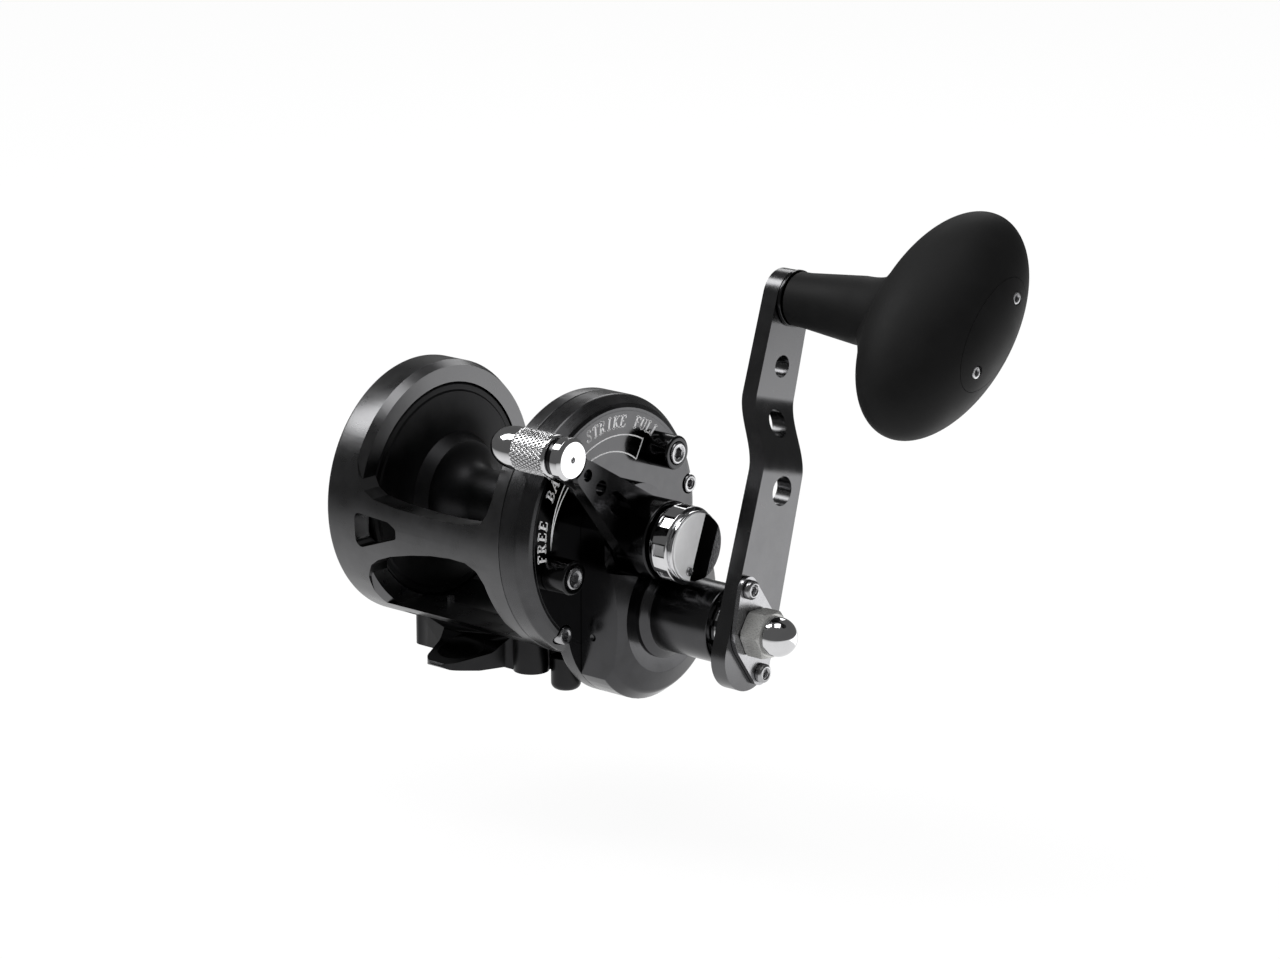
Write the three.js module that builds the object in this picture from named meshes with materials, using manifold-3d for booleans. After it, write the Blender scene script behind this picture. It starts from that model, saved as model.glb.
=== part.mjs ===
// Lever-drag trolling reel: one-piece frame, gear side, spool on a sliding spindle, drag lever,
// preset knob and crank handle. Millimetres, +Z up, +Y towards the rod tip, +X towards the handle.
// The origin is the middle of the reel foot's underside.
import * as THREE from "three";
import { mergeVertices } from "three/addons/utils/BufferGeometryUtils.js";
import Module from "manifold-3d";

const wasm = await Module();
wasm.setup();

// Clearances
const seam = 0.15; // between parts that are screwed face to face
const play = 0.3; // round a part that turns or slides
const tight = 0.12; // round a part that is seated
const bearingFit = 0.05; // between a bearing and what it carries
const over = 2; // how far a cutter runs past what it cuts

// Frame
const ringRadius = 36;
const flangeRadius = 29.7;
const boreRadius = flangeRadius + 0.4;
const spoolRoom = 47.2; // between the two rings
const leftRingWidth = 11.7;
const rightRingWidth = 4.4;
const leftWall = 3.7;
const capSeat = 8; // the hole in the left wall for the bearing cap
const ringChamfer = { width: 2.6, depth: 1.3 };
const footSeatDrop = 31.2; // spool axis down to the flat that the foot bolts to
const platformDrop = 28.4; // spool axis down to the top of the bottom bar
const platformHalf = 24; // half the bottom bar's depth
const rearBar = { top: 4, bottom: -5.9, flareTop: 6, flareBottom: 14 };
const frontBar = { top: -8, bottom: -17, flareTop: 5, flareBottom: 6 };

// Foot
const footHeight = 9.65;
const footDepth = 30.6;
const tongue = { reach: 31, halfWidth: 8.5, tipRadius: 6.5, tip: 1.7, thick: 1.1, root: 6 };
const footBoss = { x: 18, y: 12, radius: 4.9 };
const footScrew = { x: 14, y: 9.5, shank: 1.2, head: 2.4, headHeight: 1.6 };
const stud = { inset: 2.7, y: -7.2, radius: 4.1, length: 9.4, stem: 1.3, stemLength: 3 };
const studX = spoolRoom / 2 + stud.inset; // under the right ring
const footTop = -footSeatDrop - seam;
const footBase = footTop - footHeight;
const axisHeight = -footBase;

// Gears: the centre distance follows from the teeth
const toothModule = 0.6;
const gearTeeth = 60;
const pinionTeeth = 16;
const centreDistance = (toothModule * (gearTeeth + pinionTeeth)) / 2;
const gearAngle = THREE.MathUtils.degToRad(-73.4);
const gearWidth = 4;
const gearY = centreDistance * Math.cos(gearAngle);
const gearZ = centreDistance * Math.sin(gearAngle);
const gearTip = (toothModule * gearTeeth) / 2 + toothModule;
const pinionTip = (toothModule * pinionTeeth) / 2 + toothModule;

// Side plate and gear case
const rimWidth = 7;
const faceRise = 2.1;
const faceInset = 2.7; // rim radius less face radius
const lobeWall = 6.5;
const lobeBack = 3.8; // behind the rim's seam, where the lobe starts
const blockHeight = 8.4;
const blockRadius = 13.6;
const blockSide = -13.3; // the flat rear wall of the gear case
const shoulderHeight = 5.5;
const shoulderRadius = 17.2;
const sleeveRadius = 10.7;
const sleeveLength = 21.5;
const gearRoom = 0.4; // round the gear in its pocket
const trayDepth = 2.1;
const plateScrews = [10, 140, 232]; // degrees
const plateScrewCircle = 32.4;
const plateScrew = { head: 2.5, shank: 1.2, height: 3.6, bite: 2.2 };
const driveRadius = 27;
const driveDepth = 3.2; // of the hollow for the drive plate
const driveHub = 3.9;
const pinionSeat = { radius: 7, width: 3 };
const pinionJournal = 3.2;
const shaftBearing = { radius: 6.5, width: 4 };

// Lever stops: posts on the dial face
const stopRadius = 4.7;
const stopHeight = 7.4;
const stopCircle = 25.6;
const stopAngles = { upper: 45.8, lower: 196.4 };
const stopScrew = { head: 3, shank: 1.3, rise: 0.5 };

// Drag lever, measured along the arm from the spool axis
const leverAngle = 139.5; // degrees at rest
const leverHub = 10.8;
const leverThick = 4.4;
const leverLength = 43;
const leverNeck = 8.2; // from the eye's centre back to the end of the full-thickness arm
const leverEye = { radius: 5, thick: 1.6 };
const leverWaist = 5.4; // half the arm's width where it meets the eye
const leverHoles = [
  { at: 27.5, radius: 2.1 },
  { at: 34.4, radius: 1.7 },
];
const leverPocket = { at: 16.6, length: 9, width: 4.4, depth: 1.8 };
const stopRib = { from: 20, to: 29, width: 6, drop: 4.6 };
const pivotRadius = 7;
const hubTop = 11.4; // above the gear case block
const bulletRadius = 5.8;
const bullet = { body: 13.5, nose: 8.6, cap: 3.2 };
const leverForward = 36; // degrees from rest to the lower stop

// Preset knob
const preset = { radius: 10.5, face: 9.7, length: 8.2, notches: 8, notch: 3.6, notchDepth: 0.6, turn: -13 };
const thumbFlat = { from: 0.6, to: 5.8, rise: 1, turn: -8, screwAt: -6.8 };

// Spindle and spool
const spindleRadius = 2.3;
const arborRadius = 8;
const hubRadius = 14.7;
const flangeRim = 2.6;
const spoolBearing = { radius: 6.4, width: 3.5 };

// Handle
const handleLean = 15.5; // degrees from vertical at rest
const armLength = 88.4;
const armOffset = 2.9; // of the arm's centreline from the shaft
const armThick = 4.8;
const armRoot = 10;
const armRootOffset = 1;
const armTail = 6.5;
const armTip = 7.5;
const armJog = { from: 41.6, to: 61.7, shift: 7.2 };
const armHoles = [
  { at: 37.6, radius: 4 },
  { at: 55, radius: 3.6 },
  { at: 70, radius: 3 },
];
const shaftRadius = 3.6;
const collar = { radius: 8.6, width: 1.5, notches: 10 };
const lock = { thick: 1.3, middle: 8.4, end: 3.4, screwAt: 12.4, tilt: 27.5, screwHead: 2.6, headHeight: 1.7 };
const lockScrewShank = 1.1;
const nut = { radius: 6.9, height: 6, turn: 12, dome: 5.3, domeRise: 1.6 };
const knob = {
  pin: 2.5,
  stem: 7.3,
  stemEnd: 9.2,
  stemLength: 24,
  flareLength: 13,
  flareRise: 7,
  blend: { from: 24, to: 32.2, start: 0.27, end: 0.58 }, // from stem to ball, as shares of the ball
  long: 34.2,
  short: 19,
  deep: 18.4,
  centre: 47.1, // of the ball, from the grip's inner end
  tilt: 44,
  bushWidth: 4,
};
const knobCap = { long: 17, short: 9.4, depth: 3.6, screwAt: 11.8, screw: 1.7 };
const washer = { radius: 7.7, thick: 1 };

// Click and anti-reverse
const clickWheel = { radius: 12, width: 2, teeth: 20 };
const clickButton = { radius: 3.6, travel: 4.5, rise: 3.4, stem: 1.3 };
const clickPawlSize = { thick: 1.3, half: 2.6, nose: 2.2 };
const clickY = -clickWheel.radius - clickPawlSize.half - clickButton.travel;
const ratchet = { radius: 9.6, teeth: 12, width: 1.7 };
const dog = { circle: 15.6, radius: 2.2, pin: 1.1, angles: [-160, 20] };

// Places along the spool axis, from the middle of the spool
const xLeftFace = -spoolRoom / 2;
const xRightFace = spoolRoom / 2;
const xLeft = xLeftFace - leftRingWidth;
const xSeam = xRightFace + rightRingWidth;
const xRim = xSeam + rimWidth;
const xFace = xRim + faceRise;
const xBlock = xFace + blockHeight;
const xShoulder = xBlock + shoulderHeight;
const xSleeve = xShoulder + sleeveLength;
const xGear = xFace + 1.1;
const xPocketTop = xGear + gearWidth + 1;
const xTray = xFace - trayDepth;
const xDriveRoom = xSeam + driveDepth;
const xSpoolBack = xRightFace + flangeRim;
const xWasher = xSpoolBack + seam;
const xPawl = -xSpoolBack - 0.8; // clear of the flange with the spool slid over
const xLeverBack = xBlock + 1;
const xLeverFront = xLeverBack + leverThick;
const xHubTop = xBlock + hubTop;
const xPreset = xHubTop + 0.9;
const xCollar = xSleeve + play;
const xArmBack = xCollar + collar.width + play;
const xArmFront = xArmBack + armThick;
const xLock = xArmFront + seam;
const xNut = xLock + lock.thick + seam;
const xKnob = xArmFront - armJog.shift + play;
const xGrip = xKnob + washer.thick + play;
const xBall = xGrip + knob.centre;
const xCapFloor = xBall + knob.deep - knobCap.depth;
const far = 80; // beyond everything that a cutter has to clear
const pocketRadius = gearTip + gearRoom;
const lobeRadius = pocketRadius + lobeWall;

// Materials
const finish = (color, metalness, roughness) =>
  new THREE.MeshStandardMaterial({ color, metalness, roughness });
const black = finish(0x2b2c2f, 0.85, 0.38);
const blackGloss = finish(0x1b1c1e, 0.8, 0.25);
const chrome = finish(0xdfe1e4, 1, 0.12);
const steel = finish(0xa9abae, 1, 0.35);
const brass = finish(0xb49650, 1, 0.4);
const softBlack = finish(0x151516, 0, 0.75);
const carbon = finish(0x202124, 0.1, 0.7);

// A closed geometry as a solid that faces out.
function solid(geometry) {
  const bare = geometry.index ? geometry.toNonIndexed() : geometry.clone();
  for (const name of Object.keys(bare.attributes)) {
    if (name !== "position") bare.deleteAttribute(name);
  }
  const merged = mergeVertices(bare, 1e-4);
  const vertProperties = merged.attributes.position.array;
  const triVerts = new Uint32Array(merged.index.array);
  const made = new wasm.Manifold(new wasm.Mesh({ numProp: 3, vertProperties, triVerts }));
  if (made.volume() > 0) return made;
  for (let i = 0; i < triVerts.length; i += 3) {
    [triVerts[i + 1], triVerts[i + 2]] = [triVerts[i + 2], triVerts[i + 1]];
  }
  return new wasm.Manifold(new wasm.Mesh({ numProp: 3, vertProperties, triVerts }));
}

const join = (first, ...rest) => rest.reduce((all, part) => all.add(part), first);
const cut = (first, ...rest) => rest.reduce((all, part) => all.subtract(part), first);

function mesh(name, shape, material) {
  const out = shape.getMesh();
  const geometry = new THREE.BufferGeometry();
  geometry.setAttribute("position", new THREE.BufferAttribute(out.vertProperties, 3));
  geometry.setIndex(new THREE.BufferAttribute(out.triVerts, 1));
  geometry.computeVertexNormals();
  const made = new THREE.Mesh(geometry, material);
  made.name = name;
  return made;
}

// How many sides stand for a circle.
const sidesFor = (radius) => 2 * Math.round(1.6 + 2.8 * Math.sqrt(radius));

// A profile of [x, radius] points turned about the X axis through (y, z).
function turned(profile, y = 0, z = 0, sides = 0) {
  const segments = sides || sidesFor(Math.max(...profile.map(([, r]) => r)));
  const points = [...profile, profile[0]].map(([x, r]) => new THREE.Vector2(r, x));
  const geometry = new THREE.LatheGeometry(points, segments);
  geometry.rotateZ(-Math.PI / 2).translate(0, y, z);
  return solid(geometry);
}

const rod = (x0, x1, radius, y = 0, z = 0, sides = 0) =>
  turned([[x0, 0], [x0, radius], [x1, radius], [x1, 0]], y, z, sides);
const pipe = (x0, x1, radius, hole, y = 0, z = 0) =>
  turned([[x0, hole], [x0, radius], [x1, radius], [x1, hole]], y, z);

function upright(x, y, z0, z1, radius, sides = 0) {
  const segments = sides || sidesFor(radius);
  const geometry = new THREE.CylinderGeometry(radius, radius, z1 - z0, segments);
  return solid(geometry.rotateX(Math.PI / 2).translate(x, y, (z0 + z1) / 2));
}

function box(x0, x1, y0, y1, z0, z1) {
  const geometry = new THREE.BoxGeometry(x1 - x0, y1 - y0, z1 - z0);
  return solid(geometry.translate((x0 + x1) / 2, (y0 + y1) / 2, (z0 + z1) / 2));
}

// An outline extruded along X (drawn in Y, Z), along Y (drawn in X, Z) or along Z (drawn in X, Y).
const bases = {
  x: new THREE.Matrix4().makeBasis(
    new THREE.Vector3(0, 1, 0), new THREE.Vector3(0, 0, 1), new THREE.Vector3(1, 0, 0)),
  y: new THREE.Matrix4().makeBasis(
    new THREE.Vector3(1, 0, 0), new THREE.Vector3(0, 0, 1), new THREE.Vector3(0, -1, 0)),
  z: new THREE.Matrix4(),
};
function extruded(along, outline, from, to, bevel = 0) {
  const drawn = outline instanceof THREE.Shape;
  const shape = drawn ? outline : new THREE.Shape(outline.map(([a, b]) => new THREE.Vector2(a, b)));
  const depth = to - from - 2 * bevel;
  const geometry = new THREE.ExtrudeGeometry(shape, {
    depth,
    curveSegments: 5,
    bevelEnabled: bevel > 0,
    bevelThickness: bevel,
    bevelSize: bevel,
    bevelOffset: -bevel,
    bevelSegments: 1,
  });
  geometry.translate(0, 0, bevel).applyMatrix4(bases[along]);
  if (along === "x") geometry.translate(from, 0, 0);
  if (along === "y") geometry.translate(0, to, 0);
  if (along === "z") geometry.translate(0, 0, from);
  return solid(geometry);
}

const deg = THREE.MathUtils.degToRad;
const polar = (radius, angle) => [radius * Math.cos(deg(angle)), radius * Math.sin(deg(angle))];

// The outline of a belt round two circles: c0 with radius r0, and c1 with radius r1.
function belt([a0, b0], r0, [a1, b1], r1, steps = 14) {
  const along = Math.atan2(b1 - b0, a1 - a0);
  const lean = Math.acos((r0 - r1) / Math.hypot(a1 - a0, b1 - b0));
  const points = [];
  const arc = (a, b, r, start, end) => {
    for (let i = 0; i <= steps; i++) {
      const t = start + ((end - start) * i) / steps;
      points.push([a + r * Math.cos(t), b + r * Math.sin(t)]);
    }
  };
  arc(a0, b0, r0, along + lean, along + 2 * Math.PI - lean);
  arc(a1, b1, r1, along - lean, along + lean);
  return points;
}

// A quarter-round corner in a turned profile, from one radius to the next.
function rounded(x0, r0, x1, r1, steps = 4) {
  const points = [];
  for (let i = 0; i <= steps; i++) {
    const t = (Math.PI / 2) * (i / steps);
    points.push([x0 + (x1 - x0) * Math.sin(t), r1 + (r0 - r1) * Math.cos(t)]);
  }
  return points;
}

// Trapezoid teeth round a circle.
function teeth(count, tip, root, phase = 0) {
  const points = [];
  const step = (2 * Math.PI) / count;
  for (let i = 0; i < count; i++) {
    const middle = phase + i * step;
    for (const [r, share] of [[root, -0.32], [tip, -0.12], [tip, 0.12], [root, 0.32]]) {
      points.push([r * Math.cos(middle + share * step), r * Math.sin(middle + share * step)]);
    }
  }
  return points;
}

// ---- Frame -------------------------------------------------------------------------------------

// A cross bar's outline in X, Z: waisted in the middle and flared into both rings.
function barOutline({ top, bottom, flareTop, flareBottom }) {
  const half = spoolRoom / 2 + over;
  const edge = (height, flare, sign) => {
    const points = [];
    for (let i = 0; i <= 16; i++) {
      const x = -half + (2 * half * i) / 16;
      const t = Math.abs(x) / half;
      points.push([x, height + sign * flare * t ** 7 + sign * 0.8 * t * t]);
    }
    return points;
  };
  return [...edge(bottom, flareBottom, -1), ...edge(top, flareTop, 1).reverse()];
}

function rearWindow() {
  const shape = new THREE.Shape();
  const left = xLeftFace - 1.6;
  const right = left + 15.6;
  shape.moveTo(left + 0.2, -6.6);
  shape.quadraticCurveTo(left + 0.4, -8.7, left + 2.6, -8.6);
  shape.lineTo(right - 2.4, -4.9);
  shape.quadraticCurveTo(right, -4, right, -2.6);
  shape.quadraticCurveTo(right, -0.5, right - 2.2, 0.1);
  shape.lineTo(left + 3.2, 1.4);
  shape.quadraticCurveTo(left + 1, 1.6, left + 0.5, -1);
  shape.closePath();
  return shape;
}

function frameSolid() {
  const shell = turned([
    [xLeft, 13],
    [xLeft, ringRadius - 1.2],
    [xLeft + 1.2, ringRadius],
    [xSeam, ringRadius],
    [xSeam, boreRadius],
    [xLeft + leftWall, boreRadius],
    [xLeft + leftWall, 13],
  ]);
  const wall = pipe(xLeft, xLeft + leftWall, 13.5, capSeat);
  const outer = ringRadius + over;
  const room = turned([
    [xLeftFace - ringChamfer.width, ringRadius],
    [xLeftFace - ringChamfer.width, outer],
    [xRightFace, outer],
    [xRightFace, 0],
    [xLeftFace, 0],
    [xLeftFace, ringRadius - ringChamfer.depth],
  ]);
  const keep = join(
    extruded("y", barOutline(rearBar), -far, -ringRadius / 2),
    extruded("y", barOutline(frontBar), ringRadius / 2, far),
    box(xLeft, xSeam, -platformHalf, platformHalf, -far, -platformDrop),
  );
  const belowFlat = box(xLeftFace, xRightFace, -far, far, -far, -footSeatDrop);
  const window = extruded("y", rearWindow(), -far, -platformHalf);
  const slot = clickSlot(xLeft - over, xLeft + leftWall + over, clickButton.stem + play);
  const studHole = upright(studX, stud.y, -far, -ringRadius + stud.stemLength + 1.2, stud.stem + play);
  const screwHoles = [];
  for (const [x, y] of footScrewPlaces()) {
    const hole = upright(x, y, -footSeatDrop - over, -boreRadius + 3.6, footScrew.shank + play);
    screwHoles.push(hole);
  }
  for (const angle of plateScrews) {
    const [y, z] = polar(plateScrewCircle, angle);
    screwHoles.push(rod(xSeam - 2.6, xSeam + over, plateScrew.shank + play, y, z));
  }
  return cut(join(shell, wall), cut(room, keep), belowFlat, window, slot, studHole, ...screwHoles);
}

function leftCap() {
  return turned([
    [xLeft - 1.6, 0],
    [xLeft - 1.6, 9.6],
    [xLeft - 1, 10.2],
    [xLeft - seam, 10.2],
    [xLeft - seam, capSeat - tight],
    [xLeft + leftWall - 0.6, capSeat - tight],
    [xLeft + leftWall - 0.6, spindleRadius + play],
    [xLeft + 1, spindleRadius + play],
    [xLeft + 1, 0],
  ]);
}

// ---- Foot --------------------------------------------------------------------------------------

const footScrewPlaces = () => [-1, 1].flatMap((a) => [-1, 1].map((b) => [a * footScrew.x, b * footScrew.y]));

function footSolid() {
  const left = xLeftFace + play;
  const right = studX - stud.radius - play;
  const halfY = footDepth / 2;
  const corner = 3;
  const plan = new THREE.Shape();
  plan.moveTo(left + corner, -halfY);
  plan.lineTo(right - corner, -halfY);
  plan.absarc(right - corner, -halfY + corner, corner, -Math.PI / 2, 0);
  plan.absarc(right - corner, halfY - corner, corner, 0, Math.PI / 2);
  plan.absarc(left + corner, halfY - corner, corner, Math.PI / 2, Math.PI);
  plan.absarc(left + corner, -halfY + corner, corner, Math.PI, 1.5 * Math.PI);
  const block = extruded("z", plan, footBase, footTop);
  const bosses = [-1, 1].map((side) =>
    upright(footBoss.x, side * footBoss.y, footBase, footTop, footBoss.radius));
  const holes = [];
  for (const [x, y] of footScrewPlaces()) {
    holes.push(upright(x, y, footBase - over, footTop + over, footScrew.shank + play));
    const seat = footScrew.headHeight + 1;
    holes.push(upright(x, y, footBase - over, footBase + seat, footScrew.head + play));
  }
  return cut(join(block, ...bosses, tongueSolid(-1), tongueSolid(1)), ...holes);
}

// One end of the foot, tapered to slide under a rod's hood.
function tongueSolid(side) {
  const root = footDepth / 2 - 2;
  const outline = [
    [root, footBase],
    [root + 8, footBase],
    [tongue.reach, footBase + tongue.tip],
    [tongue.reach, footBase + tongue.tip + tongue.thick],
    [root + 11, footBase + tongue.tip + tongue.thick + 0.9],
    [root + 5, footBase + tongue.root - 1.6],
    [root, footBase + tongue.root],
  ].map(([y, z]) => [side * y, z]);
  const tipCentre = tongue.reach - tongue.tipRadius;
  const plan = belt([0, side * (root - 4)], tongue.halfWidth + 4, [0, side * tipCentre], tongue.tipRadius, 12);
  const slab = extruded("z", plan, footBase - over, footTop);
  const profile = extruded("x", outline, -footDepth, footDepth);
  return profile.intersect(slab);
}

function footScrewSolid(x, y) {
  const seat = footBase + footScrew.headHeight + 1;
  const head = upright(x, y, seat - footScrew.headHeight - seam, seat - seam, footScrew.head);
  const shank = upright(x, y, seat - 1, -boreRadius + 3, footScrew.shank);
  return cut(join(head, shank), socketUp(x, y, seat - footScrew.headHeight - seam, 1.2, 1));
}

function socketUp(x, y, z, radius, depth) {
  return upright(x, y, z - over, z + depth, radius, 6);
}

function clampStud() {
  const top = -ringRadius - 0.3;
  const points = [
    [top + stud.stemLength, 0],
    [top + stud.stemLength, stud.stem],
    [top, stud.stem],
    [top, stud.radius],
    ...rounded(top - stud.length + 1.8, stud.radius, top - stud.length, stud.radius - 2.6, 4),
    [top - stud.length, 0],
  ];
  const profile = [...points, points[0]].map(([z, r]) => new THREE.Vector2(r, z));
  const geometry = new THREE.LatheGeometry(profile, 24);
  return solid(geometry.rotateX(Math.PI / 2).translate(studX, stud.y, 0));
}

// ---- Side plate and gear case ------------------------------------------------------------------

function sidePlate() {
  const x0 = xSeam + seam;
  const disc = turned([
    [x0, 0],
    [x0, ringRadius],
    ...rounded(xRim, ringRadius, xFace, ringRadius - faceInset, 4),
    [xFace, 0],
  ]);
  const lobe = rod(x0 + lobeBack, xFace, lobeRadius, gearY, gearZ);
  const cavity = rod(x0 - over, xDriveRoom, driveRadius + play * 2);
  const seatFrom = xTray - pinionSeat.width;
  const holes = [
    rod(seatFrom, xFace + over, pinionSeat.radius),
    rod(x0, xFace, pinionTip + play),
    rod(xTray, xFace + over, pocketRadius, gearY, gearZ),
    rod(xTray - 1.6, xTray + 1, shaftRadius - 0.6 + play, gearY, gearZ),
  ];
  for (const angle of plateScrews) {
    const [y, z] = polar(plateScrewCircle, angle);
    holes.push(rod(x0 - over, xFace + over, plateScrew.shank + play, y, z));
    holes.push(rod(xRim - 1, xFace + over, plateScrew.head + play, y, z));
  }
  for (const angle of Object.values(stopAngles)) {
    const [y, z] = polar(stopCircle, angle);
    holes.push(rod(xFace - 2.4, xFace + over, stopScrew.shank + play, y, z));
  }
  const posts = dog.angles.map((angle) => {
    const [y, z] = dogPlace(angle);
    return rod(xTray - 1, xFace - 0.2, dog.pin, y, z);
  });
  return join(cut(join(disc, lobe), cavity, ...holes), ...posts);
}

function gearCover() {
  const x0 = xFace + seam;
  const outline = belt([0, 0], blockRadius, [gearY, gearZ], lobeRadius, 24);
  const block = extruded("x", outline, x0 - 2, xBlock, 0.7).intersect(
    box(x0, xBlock + over, blockSide, far, -far, far));
  const shoulder = turned([
    [xBlock - 1, 0],
    [xBlock - 1, lobeRadius - 0.7],
    [xBlock, lobeRadius - 0.7],
    ...rounded(xBlock, lobeRadius - 1.2, xShoulder, shoulderRadius, 5).slice(1),
    [xShoulder, 0],
  ], gearY, gearZ).intersect(box(x0, far, blockSide, far, -far, far));
  const sleeve = turned([
    [xBlock, 0],
    [xBlock, sleeveRadius + 2.3],
    [xShoulder + 0.8, sleeveRadius + 2.3],
    [xShoulder + 2, sleeveRadius],
    [xSleeve - 0.5, sleeveRadius],
    [xSleeve, sleeveRadius - 0.5],
    [xSleeve, 0],
  ], gearY, gearZ);
  const pivot = rod(xBlock - 1, xBlock + 4.6, pivotRadius);
  const bearing = shaftBearing.radius + tight;
  const clearForHub = rod(xBlock, far, leverHub + 0.8);
  const neck = leverLength - leverNeck;
  const clearForLever = extruded("x", belt([0, 0], leverHub, [neck, 0], leverWaist), xLeverBack - play, far)
    .rotate([leverAngle + leverForward, 0, 0]);
  return cut(
    join(cut(join(block, cut(shoulder, clearForLever), sleeve), clearForHub), pivot),
    rod(x0 - over, xPocketTop, pocketRadius, gearY, gearZ),
    rod(x0 - over, xPocketTop, pinionTip + 1),
    rod(x0, xBlock + 2, pinionJournal + play),
    rod(x0, far, spindleRadius + play),
    rod(x0, far, shaftRadius + play, gearY, gearZ),
    rod(xPocketTop - 1, xPocketTop + shaftBearing.width + play, bearing, gearY, gearZ),
    rod(xSleeve - shaftBearing.width - play, far, bearing, gearY, gearZ),
  );
}

const shaftRing = (x) =>
  pipe(x, x + shaftBearing.width - play, shaftBearing.radius, shaftRadius + bearingFit, gearY, gearZ);

function pinionRing() {
  const x = xTray - pinionSeat.width + play;
  return pipe(x, xTray - play, pinionSeat.radius - tight, driveHub + bearingFit);
}

function plateScrewSolid(angle) {
  const [y, z] = polar(plateScrewCircle, angle);
  const seat = xRim - 1 + seam;
  const head = turned([
    [seat, 0],
    [seat, plateScrew.head],
    [seat + plateScrew.height - 0.5, plateScrew.head],
    [seat + plateScrew.height, plateScrew.head - 0.5],
    [seat + plateScrew.height, 0],
  ], y, z);
  const shank = rod(xSeam - plateScrew.bite, seat + 1, plateScrew.shank, y, z);
  const socket = rod(seat + plateScrew.height - 2, seat + plateScrew.height + over, 1.4, y, z, 6);
  return cut(join(head, shank), socket);
}

function stopPost(angle) {
  const [y, z] = polar(stopCircle, angle);
  const x0 = xFace + seam;
  const post = turned([
    [x0, stopScrew.shank + play],
    [x0, stopRadius],
    [x0 + stopHeight - 0.6, stopRadius],
    [x0 + stopHeight, stopRadius - 0.6],
    [x0 + stopHeight, stopScrew.head + play],
    [x0 + stopHeight - 1.6, stopScrew.head + play],
    [x0 + stopHeight - 1.6, stopScrew.shank + play],
  ], y, z);
  return post;
}

function stopScrewSolid(angle) {
  const [y, z] = polar(stopCircle, angle);
  const top = xFace + seam + stopHeight + stopScrew.rise;
  const seat = xFace + seam + stopHeight - 1.6 + seam;
  const head = turned([
    [seat, 0],
    [seat, stopScrew.head],
    [top - 0.4, stopScrew.head],
    [top, stopScrew.head - 0.4],
    [top, 0],
  ], y, z);
  const shank = rod(xFace - 2, seat + 0.5, stopScrew.shank, y, z);
  return cut(join(head, shank), rod(seat + 0.5, top + over, 1.8, y, z, 6));
}

// ---- Spool, spindle and drag -------------------------------------------------------------------

function spoolSolid() {
  // Right half of the outline from the arbor's middle to the flange rim, mirrored for the left.
  const side = [[0, arborRadius], [xRightFace * 0.38, arborRadius]];
  for (let i = 1; i <= 4; i++) {
    const t = (Math.PI / 2) * (i / 4);
    side.push([
      xRightFace * (0.38 + 0.34 * Math.sin(t)),
      hubRadius - (hubRadius - arborRadius) * Math.cos(t) ** 1.4,
    ]);
  }
  side.push([xRightFace * 0.9, hubRadius + 2.2]);
  side.push([xRightFace * 0.97, hubRadius + 7]);
  side.push([xRightFace, flangeRadius - 2.2]);
  side.push([xRightFace + 0.3, flangeRadius]);
  side.push([xSpoolBack, flangeRadius]);
  const seat = spoolBearing.radius + tight;
  const inner = [
    [xSpoolBack, 12],
    [xSpoolBack - 1.6, 11],
    [xSpoolBack - 1.6, seat],
    [xSpoolBack - 1.6 - spoolBearing.width - play, seat],
    [xSpoolBack - 1.6 - spoolBearing.width - play, spindleRadius + 1.5],
  ];
  const right = [...side.slice(1), ...inner];
  const left = right.map(([x, r]) => [-x, r]).reverse();
  return turned([...left, side[0], ...right]);
}

const spoolRing = (x) =>
  pipe(x, x + spoolBearing.width, spoolBearing.radius, spindleRadius + bearingFit);

const dragWasher = () => pipe(xWasher, xWasher + 0.9, 26, 14);

function drivePlate() {
  const x0 = xWasher + 0.9 + 0.75;
  const disc = pipe(x0, xDriveRoom - 0.5, driveRadius, spindleRadius + play);
  const hub = pipe(x0, xTray - 0.1, driveHub, spindleRadius + play);
  return join(disc, hub);
}

function pinionSolid() {
  const phase = gearAngle;
  const root = pinionTip - 2.25 * toothModule + 0.1;
  const outline = teeth(pinionTeeth, pinionTip, root, phase);
  const toothed = extruded("x", outline, xTray + 0.3, xGear + gearWidth + 0.4);
  const journal = rod(xTray + 1, xBlock + 1.6, pinionJournal);
  return cut(join(toothed, journal), rod(xTray - over, xBlock + 4, spindleRadius + play));
}

function mainGear() {
  const phase = gearAngle + Math.PI + Math.PI / gearTeeth;
  const root = gearTip - 2.25 * toothModule;
  const outline = teeth(gearTeeth, gearTip, root, phase);
  const disc = extruded("x", outline, xGear, xGear + gearWidth);
  const web = pipe(xGear + gearWidth - 1, xGear + gearWidth + over, gearTip - 3.4, 8);
  return cut(disc, web, rod(xGear - over, xGear + gearWidth + over, shaftRadius + tight));
}

function ratchetWheel() {
  const points = [];
  for (let i = 0; i < ratchet.teeth; i++) {
    points.push(polar(ratchet.radius, (i * 360) / ratchet.teeth));
    points.push(polar(ratchet.radius - 1.7, (i * 360) / ratchet.teeth + 4));
  }
  const x0 = xTray + 0.3;
  return cut(
    extruded("x", points, x0, x0 + ratchet.width),
    rod(x0 - over, x0 + over * 2, shaftRadius + tight),
  );
}

const dogPlace = (angle) => {
  const [y, z] = polar(dog.circle, angle);
  return [gearY + y, gearZ + z];
};

// A pawl drawn about its own pivot, its nose reaching along +Y.
function dogSolid() {
  const reach = dog.circle - ratchet.radius + 0.9;
  const x0 = xTray + 0.3;
  const body = extruded("x", belt([0, 0], dog.radius, [reach * 0.2, reach * 0.75], 0.7, 8), x0, x0 + 1.5);
  return cut(body, rod(x0 - 1, x0 + 3, dog.pin + play));
}

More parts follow.
